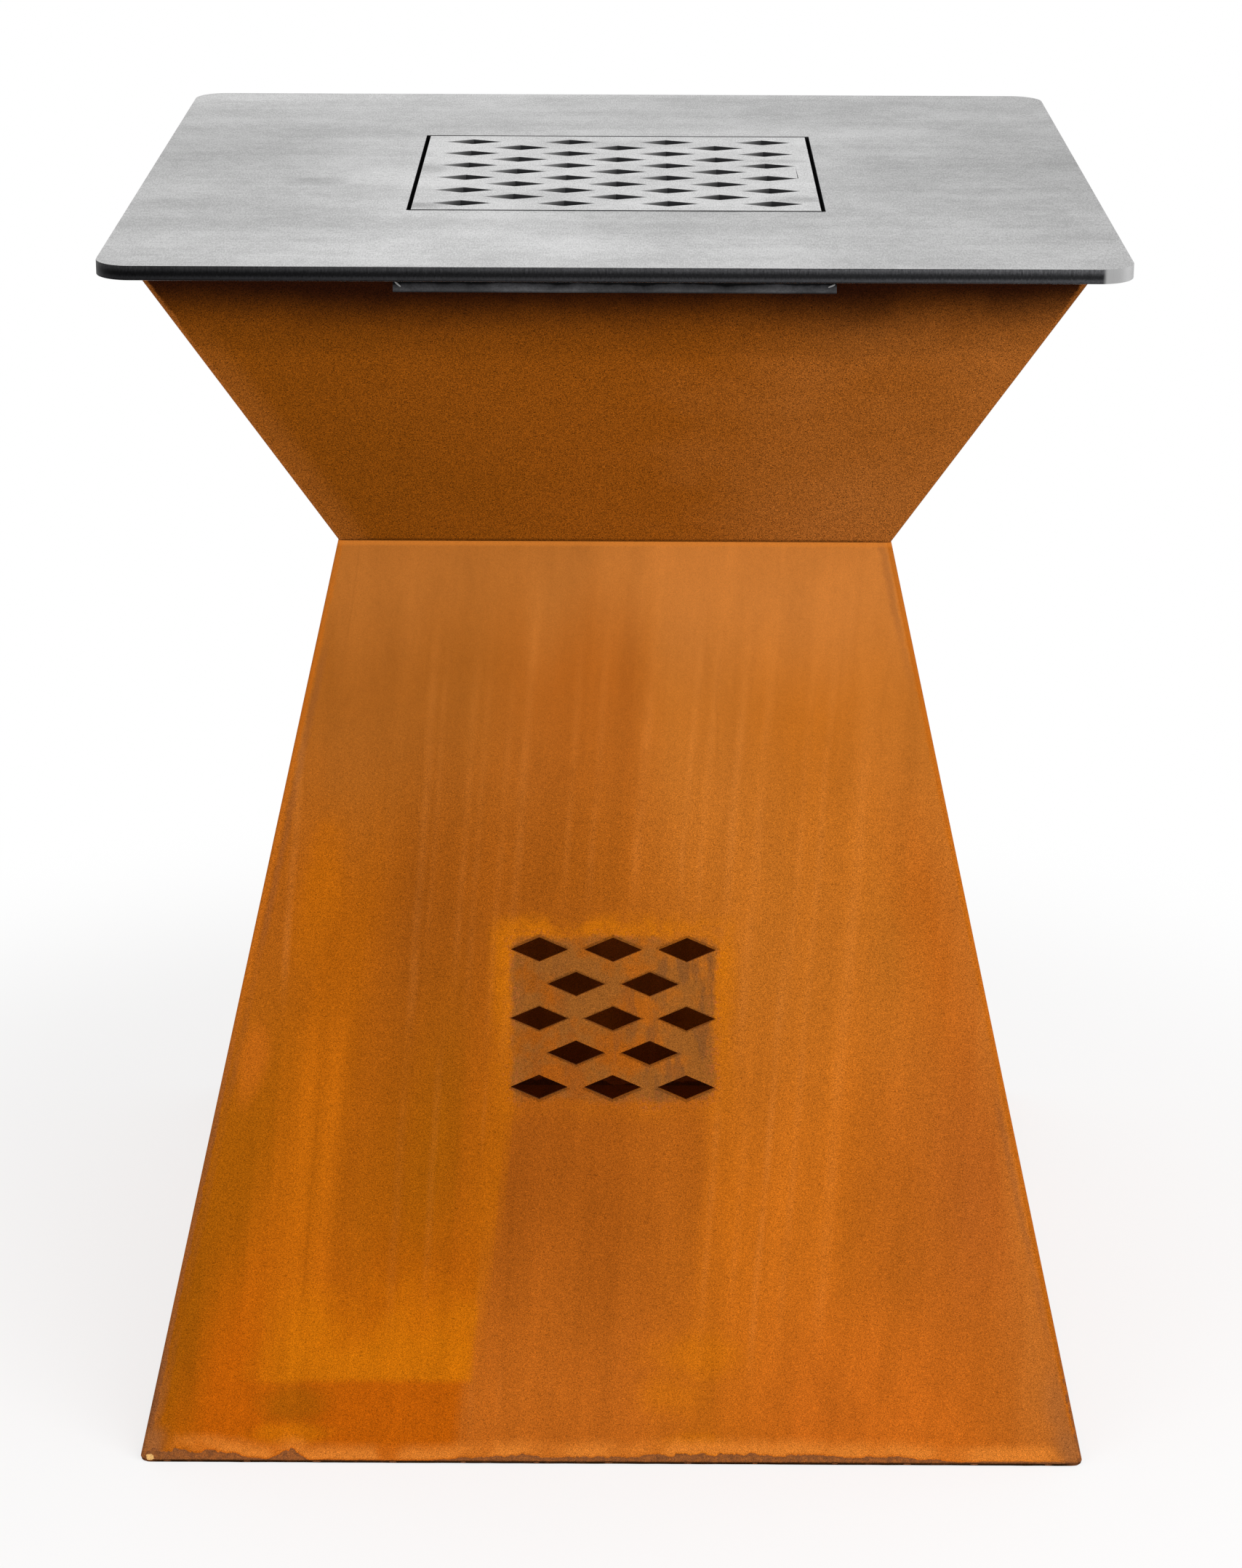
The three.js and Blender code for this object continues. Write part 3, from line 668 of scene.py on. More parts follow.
# Tones of the front wall: shares of its height, and for each the tones from its left edge (-1) to
# its right edge (1). Chosen by hand among colours that a script worked out
FRONT_TONES = (
    (
        0.043,
        (
            (-0.98, "khaki"), (-0.86, "ember"), (-0.330, "ember"), (-0.312, "umber"), (0.04, "umber"),
            (0.20, "rust"), (0.40, "flame"), (0.72, "flame"), (0.84, "umber"), (0.94, "straw"),
        ),
    ),
    (
        0.300,
        (
            (-0.97, "khaki"), (-0.91, "khaki"), (-0.84, "ochre"), (-0.75, "ochre"), (-0.67, "olive"),
            (-0.46, "khaki"), (-0.39, "olive"), (-0.315, "ochre"), (-0.300, "ochre"), (-0.284, "brown"),
            (-0.02, "brown"), (0.12, "clay"), (0.24, "rust"), (0.38, "bright"), (0.52, "bright"),
            (0.66, "umber"), (0.82, "dun"), (0.88, "dun"), (0.94, "straw"),
        ),
    ),
    (
        0.600,
        (
            (-0.97, "tawny"), (-0.84, "olive"), (-0.74, "olive"), (-0.62, "tan"), (-0.30, "tan"),
            (0.00, "tawny"), (0.30, "copper"), (0.70, "copper"), (0.84, "umber"), (0.96, "straw"),
        ),
    ),
    (
        0.830,
        (
            (-0.96, "sand"), (-0.50, "sand"), (-0.24, "caramel"), (0.00, "caramel"), (0.14, "wheat"),
            (0.30, "wheat"), (0.50, "copper"), (0.62, "copper"), (0.78, "wheat"),
        ),
    ),
    (
        0.975,
        (
            (-0.90, "haze"), (-0.40, "haze"), (0.20, "bloom"),
        ),
    ),
)
# Tones of the other walls, from old to fresh
PLAIN_TONES = (
    (-1.00, "khaki"), (-0.60, "olive"), (-0.30, "tawny"), (0.00, "clay"), (0.35, "umber"),
    (0.60, "rust"), (1.00, "bright"),
)
BOWL_TONES = ((-0.80, "bowl_dark"), (0.10, "bowl"), (0.90, "bowl_light"))

# Where the patina on the front wall differs, as shares of the wall's half width and height
FRONT_PATCHES = (
    Patch("ochre", -0.84, 0.620, 0.08, 0.110, 0.90, 0.8),
    Patch("flame", -0.93, 0.440, 0.05, 0.060, 0.45, 0.8),
    Patch("ochre", -0.73, 0.160, 0.10, 0.120, 0.70, 0.8),
    Patch("khaki", -0.69, 0.064, 0.10, 0.030, 0.75, 0.8),
    Patch("yellow", -0.69, 0.030, 0.12, 0.016, 0.70, 0.8),
    Patch("yellow", 0.19, 0.120, 0.16, 0.040, 0.50, 0.9),
    Patch("yellow", 0.12, 0.075, 0.10, 0.030, 0.40, 0.9),
    Patch("yellow", 0.18, 0.018, 0.10, 0.018, 0.60, 0.8),
    Patch("fresh", 0.84, 0.010, 0.18, 0.014, 0.60, 0.8),
    Patch("clay", 0.66, 0.280, 0.16, 0.160, 0.40, 0.9),
    Patch("clay", 0.84, 0.620, 0.10, 0.060, 0.30, 0.9),
    Patch("film", 0.99, 0.050, 0.06, 0.090, 0.55, 0.8),
    Patch("stain", -1.00, 0.010, 0.055, 0.034, 0.72, 0.6),
    Patch("film", -1.00, 0.060, 0.030, 0.090, 0.55, 0.8),
)
# Single runs on the front wall: centre and half width in metres, ends as shares of the height. Most
# of the pale and bright centres were measured by a script, and not chosen by hand
Run = namedtuple("Run", "centre half_width foot top strength")
PALE_RUNS = (
    Run(-0.2400, 0.0030, 0.48, 0.87, 1.6),
    Run(-0.1470, 0.0035, 0.42, 0.95, 0.9),
    Run(-0.1470, 0.0035, 0.12, 0.48, 0.45),
    Run(-0.1380, 0.0025, 0.52, 0.92, 0.5),
    Run(-0.1160, 0.0030, 0.48, 0.92, 0.7),
    Run(-0.1060, 0.0028, 0.45, 0.90, 0.5),
    Run(-0.0890, 0.0028, 0.42, 0.90, 0.5),
    Run(-0.0760, 0.0035, 0.40, 0.97, 1.0),
    Run(-0.0410, 0.0028, 0.58, 0.95, 0.6),
    Run(-0.0230, 0.0030, 0.58, 0.95, 0.7),
    Run(0.0100, 0.0042, 0.58, 1.05, 1.2),
    Run(0.0435, 0.0028, 0.58, 0.97, 1.3),
    Run(0.0570, 0.0028, 0.56, 0.97, 1.1),
    Run(0.0780, 0.0035, 0.54, 0.97, 1.5),
    Run(0.0970, 0.0038, 0.40, 0.97, 0.9),
    Run(0.1060, 0.0030, 0.12, 0.42, 0.5),
    Run(0.1280, 0.0032, 0.44, 0.95, 0.7),
    Run(0.1430, 0.0030, 0.10, 0.92, 0.9),
    Run(0.1710, 0.0048, 0.10, 0.86, 0.9),
    Run(-0.1220, 0.0030, 0.14, 0.50, 0.5),
    Run(-0.0870, 0.0016, 0.30, 0.46, 0.7),
    Run(0.0850, 0.0028, 0.08, 0.46, 0.8),
    Run(0.1235, 0.0030, 0.07, 0.60, 1.3),
    Run(-0.0830, 0.0030, 0.02, 0.12, 2.4),
    Run(-0.0620, 0.0024, 0.03, 0.13, 2.0),
    Run(-0.0440, 0.0020, 0.04, 0.10, 2.4),
    Run(-0.0240, 0.0026, 0.03, 0.12, 2.4),
    Run(0.0450, 0.0030, 0.03, 0.11, 1.6),
)
BRIGHT_RUNS = (
    Run(-0.2220, 0.0085, 0.10, 0.54, 1.0),
    Run(-0.1995, 0.0065, 0.13, 0.54, 1.0),
)
DARK_RUNS = (
    Run(-0.2105, 0.0016, 0.14, 0.46, 1.0),
    Run(-0.1840, 0.0060, 0.20, 0.55, 0.5),
    Run(-0.0620, 0.0030, 0.08, 0.36, 0.6),
    Run(0.0270, 0.0030, 0.60, 0.95, 0.4),
)

# How high the brown stain reaches over the foot of the front wall, in metres, from the wall's left
# edge (-1) to its right edge (1). Picked from heights that a script measured
FRONT_STAIN = (
    (-1.00, 0.0075), (-0.95, 0.0085), (-0.90, 0.0065), (-0.82, 0.0065), (-0.77, 0.0030),
    (-0.73, 0.0008), (-0.70, 0.0080), (-0.68, 0.0090), (-0.66, 0.0040), (-0.64, 0.0008),
    (-0.38, 0.0008), (-0.33, 0.0025), (-0.25, 0.0035), (-0.19, 0.0050), (-0.13, 0.0030),
    (-0.05, 0.0045), (0.03, 0.0035), (0.10, 0.0055), (0.25, 0.0065), (0.35, 0.0060), (0.46, 0.0050),
    (0.60, 0.0045), (0.69, 0.0030), (0.72, 0.0015), (0.95, 0.0018),
)

# The largest number that FRONT_STAIN can hold, in metres
STAIN_LIMIT = 0.01

# A yellow band with a sharp foot: left, right, foot, top and how strongly it shows
FRONT_SHELF = (-0.90, -0.312, 0.086, 0.215, 0.90)


def section_box(node, height, reach=0.0002):
    """Lowest and highest corner of a node's points that lie at one height."""
    points = [v.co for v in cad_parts[node].data.vertices if abs(v.co.z - height) < reach]
    low = Vector(map(min, zip(*points)))
    high = Vector(map(max, zip(*points)))
    return low, high


def taper_of(node):
    """The square taper that a front wall belongs to."""
    low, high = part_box(node)
    foot, top = section_box(node, low.z), section_box(node, high.z)
    return Taper(low.z, high.z, -foot[0].y, -top[0].y)


def colour_ramp(sheet, value, stops):
    """Soft bands of colour, for a value from -1 to 1. Stops are (place, colour)."""
    ramp = sheet.add("ShaderNodeValToRGB", {"Fac": sheet.ramp(value, -1.0, 1.0, smooth=False)})
    elements = ramp.color_ramp.elements
    while len(elements) < len(stops):
        elements.new(1.0)
    for element, (place, colour) in zip(elements, stops):
        element.position = (place + 1) / 2
        element.color = (*colour, 1)
    return ramp.outputs["Color"]


def tone_ramp(sheet, value, stops, tones):
    """Soft bands of the named tones, for a value from -1 to 1."""
    return colour_ramp(sheet, value, [(place, getattr(tones, tone)) for place, tone in stops])


def value_ramp(sheet, value, stops, largest):
    """A number that changes along a value from -1 to 1, between 0 and the largest."""
    greys = [(place, (number / largest,) * 3) for place, number in stops]
    return sheet.product(sheet.split(colour_ramp(sheet, value, greys))[0], largest)


def add_patches(sheet, colour, patches, tones, across, up, seeded):
    for patch in patches:
        mask = sheet.group(
            soft_patch(),
            across=across,
            up=up,
            centre_across=patch.across,
            centre_up=patch.up,
            reach_across=patch.reach_across,
            reach_up=patch.reach_up,
            softness=patch.softness,
            seeded=seeded,
            ragged=1.2,
        ).outputs["Mask"]
        colour = sheet.tinted(colour, getattr(tones, patch.tone), mask, patch.strength)
    return colour


def add_runs(sheet, runs, along, up):
    """The mask of several single runs together."""
    together = 0.0
    for run in runs:
        mask = sheet.group(
            single_run(),
            along=along,
            up=up,
            centre=run.centre,
            half_width=run.half_width,
            foot=run.foot,
            top=run.top,
        ).outputs["Mask"]
        together = sheet.nudged(together, mask, run.strength)
    return together


def speckled(sheet, shader, colour, seeded, tones, contrast):
    """Puts the fine grain on a patina, and joins it to the shader."""
    speckle = sheet.group(rust_grain(), seeded=seeded, size=tones.grain_size, contrast=contrast)
    factor, height = speckle.outputs["Factor"], speckle.outputs["Height"]
    colour = sheet.dimmed(colour, factor)
    sheet.put(shader.inputs["Base Color"], colour)
    sheet.put(shader.inputs["Roughness"], sheet.ramp(height, 0.3, 0.7, 0.95, 0.82))
    shader.inputs["Specular IOR Level"].default_value = 0.03
    relief(sheet, shader, height, tones.grain_height)


def shaded(sheet, colour, mask, share):
    """Multiplies a colour by 1 + share where the mask is 1."""
    shade = sheet.maths("MULTIPLY_ADD", mask, share, 1.0)
    return sheet.dimmed(colour, shade)


def laid_over(sheet, colour, tones, masks, layers):
    """Lays named tones over a colour, each by its mask and a share of it."""
    for mask, share, tone in layers:
        colour = sheet.tinted(colour, getattr(tones, tone), masks[mask], share)
    return colour


def streaks(sheet, plumb, tones):
    """Masks of runs in four widths: fine ones, their clusters, wide bands and broad ones."""
    return [
        sheet.group(
            run_streaks(), plumb=plumb, width=tones.streak_width * share, length=length, least=least
        ).outputs["Mask"]
        for share, length, least in ((1, 0.5, 0.56), (5, 0.22, 0.5), (3, 0.5, 0.5), (14, 0.9, 0.5))
    ]


def front_bands(sheet, place, tones, wide, broad):
    """The front wall's tones, which change with height and lean with the runs."""
    across, up, seeded = place["Across"], place["Up"], place["Seeded"]
    sway = sheet.nudged(across, sheet.centred(wide), 0.03)
    lean = sheet.nudged(sway, sheet.ramp(up, 0.05, 0.42, smooth=False), -0.05)
    level = sheet.nudged(up, sheet.centred(broad), 0.06)
    (last, stops), *upper = FRONT_TONES
    colour = tone_ramp(sheet, lean, stops, tones)
    for height, stops in upper:
        tone = tone_ramp(sheet, lean, stops, tones)
        colour = sheet.mix(sheet.ramp(level, last, height), colour, tone)
        last = height
    colour = add_patches(sheet, colour, FRONT_PATCHES, tones, across, up, seeded)
    left, right, foot, top, strength = FRONT_SHELF
    shelf = sheet.group(
        water_shelf(), across=lean, up=up, left=left, right=right, foot=foot, top=top, seeded=seeded
    ).outputs["Mask"]
    return sheet.tinted(colour, tones.yellow, shelf, strength)


def plain_bands(sheet, place, tones, wide, broad):
    """The other walls' tones, from noise alone."""
    up, seeded = place["Up"], place["Seeded"]
    blotches = sheet.noise(sheet.scaled(seeded, (4.5, 4.5, 3.0)), 1.0, 5.0, 0.6)
    age = sheet.nudged(broad, sheet.centred(wide), 0.35)
    age = sheet.nudged(age, sheet.centred(blotches), 2.2)
    age = sheet.maths("MULTIPLY_ADD", age, 1.1, -0.55)
    colour = tone_ramp(sheet, age, PLAIN_TONES, tones)
    colour = sheet.mix(sheet.ramp(up, 0.5, 0.85, 0.0, 0.55), colour, tones.caramel)
    pools = sheet.ramp(sheet.noise(seeded, 9.0, 2.0), 0.5, 0.62)
    pools = sheet.product(pools, sheet.ramp(up, 0.07, 0.09), sheet.ramp(up, 0.2, 0.11))
    colour = sheet.tinted(colour, tones.yellow, pools, 0.7)
    return sheet.mix(sheet.ramp(up, 0.85, 0.98, 0.0, 0.8), colour, tones.haze)


def front_runs(sheet, colour, place):
    """Adds the front wall's single runs, and returns the colour and the mask of the pale ones."""
    up, seeded = place["Up"], place["Seeded"]
    along = sheet.nudged(sheet.split(place["Plumb"])[0], sheet.swing(seeded, 9.0, 2.0), 0.006)
    patchy = sheet.ramp(sheet.noise(seeded, 26.0, 4.0, 0.6), 0.3, 0.65, 0.35, 1.0)
    pale = sheet.product(add_runs(sheet, PALE_RUNS, along, up), patchy)
    dark = sheet.product(add_runs(sheet, DARK_RUNS, along, up), patchy)
    bright = add_runs(sheet, BRIGHT_RUNS, along, up)
    for mask, share in ((bright, 0.13), (dark, -0.15), (pale, 0.075)):
        colour = shaded(sheet, colour, mask, share)
    return colour, pale


def clouded(sheet, colour, place, wide):
    """Adds clouds, blots, splashes low down and tide marks."""
    up, seeded = place["Up"], place["Seeded"]
    colour = shaded(sheet, colour, sheet.centred(wide), 0.075)
    clouds = sheet.swing(sheet.scaled(seeded, (17.0, 17.0, 7.0)), 1.0, 5.0, 0.6)
    blots = sheet.swing(sheet.scaled(seeded, (150.0, 150.0, 80.0)), 1.0, 4.0, 0.7)
    splashes = sheet.swing(sheet.scaled(seeded, (60.0, 60.0, 26.0)), 1.0, 4.0, 0.6)
    splashes = sheet.product(splashes, sheet.ramp(up, 0.16, 0.05))
    tides = sheet.group(tide_marks(), seeded=seeded, plumb=place["Plumb"]).outputs["Mask"]
    for mask, share in ((clouds, 0.36), (blots, 0.16), (splashes, 0.34), (tides, -0.06)):
        colour = shaded(sheet, colour, mask, share)
    return colour


def vented(sheet, colour, tones):
    """Adds the heat marks round the vents, and paints shade on their cut faces."""
    vents = sheet.group(vent_marks(), **VENTS._asdict()).outputs
    layers = (
        ("Halo", 0.75, "yellow"),
        ("Field", 0.85, "scorch"),
        ("Blued", 0.55, "blued"),
        ("Specks", 0.70, "clinker"),
        ("Run off", 0.45, "brown"),
        ("Rims", 0.40, "soot"),
    )
    colour = laid_over(sheet, colour, tones, vents, layers)
    # Painted shade on the vents' cut faces
    _, ny, _ = sheet.split(sheet.facing())
    cut = sheet.product(sheet.ramp(sheet.size_of(ny), 0.85, 0.5), vents["Within"])
    return sheet.tinted(colour, tones.crust, cut, 0.80)


def bordered(sheet, colour, place, tones, reach):
    """Adds seams, corners, the stained foot with its painted shade, a painted top-edge highlight, a bare
    chip.
    """
    up, seeded = place["Up"], place["Seeded"]
    edges = sheet.group(
        wall_borders(),
        edge_distance=place["Edge distance"],
        height=place["Height"],
        stain_reach=reach,
        seeded=seeded,
    ).outputs
    colour = sheet.tinted(colour, tones.stain, edges["Seam"], 0.30)
    x, _, _ = sheet.split(sheet.place())
    old_corner = sheet.product(sheet.maths("LESS_THAN", x, 0.0), sheet.ramp(up, 0.55, 0.36))
    corner = sheet.mix(old_corner, tones.bright, tones.stain)
    low_corner = sheet.product(old_corner, sheet.ramp(up, 0.20, 0.06))
    corner_share = sheet.maths("MULTIPLY_ADD", low_corner, 0.35, 0.5)
    colour = sheet.tinted(colour, corner, edges["Corner"], corner_share)
    layers = (
        ("Light line", 0.90, "fresh"),
        ("Film", 0.85, "film"),
        ("Stain", 0.92, "stain"),
        ("Shaded foot", 0.80, "crust"),
    )
    colour = laid_over(sheet, colour, tones, edges, layers)
    # Painted highlight along the top edge of the wall
    colour = sheet.mix(sheet.ramp(up, 0.9935, 0.997, 0.0, 0.5), colour, tones.fresh)
    from_chip = sheet.add("ShaderNodeVectorMath", {0: sheet.place(), 1: CHIP_PLACE}, operation="DISTANCE")
    chip = sheet.nudged(from_chip.outputs["Value"], sheet.swing(seeded, 300.0, 3.0, 0.7), 0.005)
    return sheet.mix(sheet.ramp(chip, 0.0032, 0.0026), colour, tones.bare)


def pedestal_wall(name, taper, tones, front):
    """Patina of the pedestal: bands, runs, tide marks, dark seams and a stained foot."""
    material, sheet, shader = new_material(name)
    place = sheet.group(wall_coordinates(), **taper._asdict()).outputs
    up, seeded = place["Up"], place["Seeded"]
    fine, clusters, wide, broad = streaks(sheet, place["Plumb"], tones)
    if front:
        colour = front_bands(sheet, place, tones, wide, broad)
        colour, pale = front_runs(sheet, colour, place)
        reach = value_ramp(sheet, place["Across"], FRONT_STAIN, STAIN_LIMIT)
    else:
        colour = plain_bands(sheet, place, tones, wide, broad)
        pale = sheet.product(fine, clusters, sheet.ramp(up, 1.0, 0.8))
        reach = sheet.ramp(sheet.noise(seeded, 16.0, 3.0, 0.6), 0.38, 0.60, 0.001, 0.008)
    colour = sheet.tinted(colour, tones.bloom, pale, 0.18)
    colour = clouded(sheet, colour, place, wide)
    if front:
        colour = vented(sheet, colour, tones)
    colour = bordered(sheet, colour, place, tones, reach)
    speckled(sheet, shader, colour, seeded, tones, sheet.ramp(up, 0.86, 0.66, 0.72, 2.7))
    return material


def bowl_wall(name, taper, tones):
    """Patina of the bowl: browner and blotched, with painted shade under the plate and along its foot."""
    material, sheet, shader = new_material(name)
    place = sheet.group(wall_coordinates(), **taper._asdict()).outputs
    across, up, seeded = (place[key] for key in ("Across", "Up", "Seeded"))
    stretched = sheet.scaled(seeded, (5.0, 5.0, 9.0))
    blotches = sheet.maths("MULTIPLY_ADD", sheet.noise(stretched, 1.0, 5.0, 0.6), 1.6, -0.8)
    age = sheet.nudged(blotches, across, 0.8)
    colour = tone_ramp(sheet, age, BOWL_TONES, tones)
    ragged = sheet.swing(seeded, 12.0, 5.0, 0.6)
    level = sheet.nudged(up, ragged, 0.12)
    beside = sheet.ramp(sheet.size_of(across), 0.5, 1.0, smooth=False)
    level = sheet.nudged(level, beside, -0.035)
    # Painted shade: darker towards the top, under the plate's overhang, near black at the rim
    colour = shaded(sheet, colour, sheet.ramp(level, 0.68, 0.76), -0.18)
    colour = sheet.mix(sheet.ramp(level, 0.75, 0.97), colour, tones.soot)
    # Painted shade along the foot of the bowl, in the gap at the neck
    colour = shaded(sheet, colour, sheet.ramp(up, 0.012, 0.004), -0.45)
    edges = sheet.group(
        wall_borders(), edge_distance=place["Edge distance"], height=place["Height"], seeded=seeded
    ).outputs
    colour = sheet.tinted(colour, tones.bowl_light, edges["Corner"], 0.6)
    border = sheet.product(sheet.ramp(place["Edge distance"], 0.032, 0.010), sheet.ramp(up, 0.9, 0.6))
    colour = sheet.tinted(colour, tones.bowl_light, border, 0.38)
    speckled(sheet, shader, colour, seeded, tones, 4.7)
    return material


# ---- Plate steel ------------------------------------------------------------------------------

# Grate holes and the gap round the grate, in metres, as in the solid part
GRATE_GAP = 0.003
GRATE_PITCH = (0.075, 0.050)
GRATE_HALF_SIZE = (0.0225, 0.0105)

# Painted light on the cut edge: darker at the plate's left and lighter at its right, as if lit from
# the right. Half its width in metres, and by what share the edge is lighter at either end
EDGE_HALF_WIDTH = 0.35
EDGE_LIGHT_SHARES = (-0.50, 1.25)

# Where the brushed tops differ, as shares of the half width and half depth. The light patches are a
# painted sheen, and the smudges are grease marks together with painted shade
PLATE_PATCHES = (
    Patch("light", -0.34, -0.25, 0.42, 0.80, 0.80, 1.0),
    Patch("light", -0.25, -0.88, 0.95, 0.30, 0.75, 0.9),
    Patch("light", -0.60, 1.00, 0.80, 0.26, 0.55, 0.9),
    Patch("light", 0.15, 0.45, 0.60, 0.14, 0.35, 0.9),
    Patch("smudge", 1.05, 0.15, 0.62, 1.15, 1.00, 1.0),
    Patch("smudge", 0.64, -0.05, 0.14, 0.30, 0.80, 0.9),
    Patch("smudge", 0.55, 0.75, 0.60, 0.30, 0.45, 0.9),
    Patch("smudge", -0.90, 0.25, 0.36, 0.50, 0.60, 0.9),
    Patch("smudge", -0.64, -0.12, 0.10, 0.08, 0.90, 0.9),
    Patch("smudge", -0.80, -0.45, 0.40, 0.20, 0.25, 0.9),
)
GRATE_PATCHES = (
    Patch("smudge", -0.97, -0.90, 0.22, 0.12, 0.90, 0.9),
    Patch("smudge", -0.96, 0.05, 0.12, 0.20, 0.60, 0.9),
    Patch("smudge", 0.90, -0.72, 0.22, 0.16, 0.90, 0.9),
    Patch("smudge", 0.85, 0.30, 0.22, 0.08, 0.60, 0.9),
    Patch("smudge", 0.10, 0.80, 0.90, 0.14, 0.35, 0.9),
    Patch("light", -0.70, 0.70, 0.40, 0.30, 0.70, 0.9),
)


def lattice_of(sheet, across, up, pitch, half_size):
    """The lozenge lattice with a given pitch and half size, as (across, up)."""
    return sheet.group(
        lozenges(),
        across=across,
        up=up,
        half_pitch_across=pitch[0] / 2,
        half_pitch_up=pitch[1] / 2,
        half_width=half_size[0],
        half_height=half_size[1],
    ).outputs


def hole_walls(sheet, edge, steel, place, normal):
    """Painted light and shade on the grate's hole walls and edges, and a painted highlight on the rims."""
    (x, y), (nx, ny, nz) = place, normal
    lattice = lattice_of(sheet, x, y, GRATE_PITCH, GRATE_HALF_SIZE)
    inside = sheet.maths("LESS_THAN", lattice["Nearest"], 1.3)
    # Painted light on the hole walls that face right, painted shade on the others
    painted_lit_side = sheet.product(sheet.ramp(nx, 0.1, 0.3), inside)
    tip = lattice["Tip"]
    painted_lit_tone = sheet.mix(sheet.ramp(tip, 0.0, 0.85), steel.hole_lit, steel.light)
    painted_shade_tone = sheet.mix(sheet.ramp(tip, 0.5, 1.0), steel.edge_top, steel.hole_lit)
    # Painted shade on the grate's cut edges that do not face the front
    edge = shaded(sheet, edge, sheet.ramp(ny, -0.5, -0.9, 1.0, 0.0), -0.5)
    edge = sheet.mix(inside, edge, sheet.mix(painted_lit_side, painted_shade_tone, painted_lit_tone))
    # Painted highlight along the hole rims that face right, stronger towards the right
    rim = sheet.product(sheet.ramp(nz, 0.2, 0.4), sheet.ramp(nz, 0.985, 0.94), inside)
    burr = sheet.product(rim, sheet.ramp(nx, 0.02, 0.12), sheet.ramp(x, -0.13, 0.05, 0.15, 0.45))
    return edge, burr


def corner_highlight_and_opening_shade(sheet, edge, steel, shares, normal, clouds):
    """Paints a highlight on the plate's right-hand corner arcs, and shade on the walls of its opening."""
    (across, up), (nx, ny) = shares, normal
    # Painted highlight on the corner arcs that face right
    ground = sheet.product(sheet.ramp(nx, 0.06, 0.2), sheet.ramp(sheet.size_of(ny), 0.06, 0.2))
    ground = sheet.product(ground, sheet.ramp(clouds, 0.2, 0.5, 0.6, 1.0))
    ground = sheet.product(ground, sheet.maths("GREATER_THAN", across, 0.9))
    edge = sheet.tinted(edge, steel.top, ground, 0.9)
    # Painted shade on the walls of the opening round the grate
    off_middle = sheet.maths("MAXIMUM", sheet.size_of(across), sheet.size_of(up))
    return shaded(sheet, edge, sheet.maths("LESS_THAN", off_middle, 0.6), -0.5)


def gap_shade(sheet, top, steel, place, clouds):
    """A painted shade on the plate, along the front of the gap round the grate."""
    x, y = place
    grate_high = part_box("grate_insert")[1]
    before = sheet.minus(-grate_high.y - GRATE_GAP, y)
    within = sheet.ramp(sheet.size_of(x), grate_high.x + GRATE_GAP, grate_high.x)
    within = sheet.product(within, sheet.maths("GREATER_THAN", before, -0.0005))
    # The reach of the painted shade, made ragged
    broken_up = sheet.nudged(before, sheet.centred(clouds), 0.002)
    strength = sheet.ramp(x, -0.16, 0.10, 0.55, 0.85)
    return sheet.tinted(top, steel.edge_top, sheet.ramp(broken_up, 0.0032, 0.0014), within, strength)


def plate_steel(name, node, steel, main, patches, holes=False):
    """Brushed top and bottom, and a dark cut edge, striped above, and lighter to the right by painted light.
    """
    material, sheet, shader = new_material(name)
    low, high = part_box(node)
    place = sheet.place()
    x, y, _ = sheet.split(place)
    nx, ny, nz = sheet.split(sheet.facing())
    face = sheet.group(
        cut_face(), top_height=high.z, thickness=high.z - low.z, line_pitch=steel.cut_line
    ).outputs
    brush = sheet.group(brushed(), line_width=steel.brush_width).outputs
    across, up = sheet.maths("DIVIDE", x, high.x), sheet.maths("DIVIDE", y, high.y)
    top = add_patches(sheet, main, patches, steel, across, up, sheet.scaled(place, (0.6, 0.6, 0.6)))
    shade = sheet.product(
        sheet.ramp(brush["Clouds"], 0.3, 0.7, 0.94, 1.06),
        sheet.ramp(brush["Bands"], 0.3, 0.7, 0.96, 1.04),
        sheet.ramp(brush["Lines"], 0.3, 0.7, 0.975, 1.025),
        sheet.ramp(brush["Scuffs"], 0.3, 0.7, 0.96, 1.04),
        sheet.ramp(brush["Grain"], 0.25, 0.75, 0.87, 1.13),
    )
    top = sheet.dimmed(top, shade)

    patchy = sheet.ramp(brush["Clouds"], 0.3, 0.7, 0.30, 1.0)
    cuts = sheet.maths("MULTIPLY_ADD", sheet.ramp(face["Lines"], 0.3, 0.7, -0.5, 0.15), patchy, 0.85)
    stripes = sheet.product(face["Upper"], cuts)
    edge = sheet.mix(stripes, steel.edge, steel.edge_top)
    edge = sheet.tinted(edge, steel.edge_low, face["Lower"], 0.8)
    edge = shaded(sheet, edge, sheet.centred(brush["Grain"]), 1.2)
    # Painted light: the cut edges darken towards the left and lighten towards the right
    painted_side_light = sheet.ramp(x, -EDGE_HALF_WIDTH, EDGE_HALF_WIDTH, *EDGE_LIGHT_SHARES, smooth=False)
    edge = shaded(sheet, edge, painted_side_light, 1.0)
    if holes:
        edge, burr = hole_walls(sheet, edge, steel, (x, y), (nx, ny, nz))
    else:
        edge = corner_highlight_and_opening_shade(sheet, edge, steel, (across, up), (nx, ny), brush["Clouds"])
        top = gap_shade(sheet, top, steel, (x, y), brush["Clouds"])
        burr = 0.0

    colour = sheet.mix(face["Edge"], top, edge)
    colour = sheet.mix(burr, colour, steel.burr)
    sheet.put(shader.inputs["Base Color"], colour)
    top_roughness = sheet.ramp(shade, 0.85, 1.1, 0.5, 0.36)
    sheet.put(shader.inputs["Roughness"], sheet.blend(face["Edge"], top_roughness, 0.5))
    shader.inputs["Metallic"].default_value = 1.0
    height = sheet.nudged(sheet.product(face["Lines"], face["Edge"]), brush["Grain"], 0.5)
    relief(sheet, shader, height, 0.0001, 0.5)
    return material


# Height of the tray's lips, as in the solid part, and how far in from their faces they are marked
LIP_HEIGHT = 0.012
LIP_REACH = 0.004


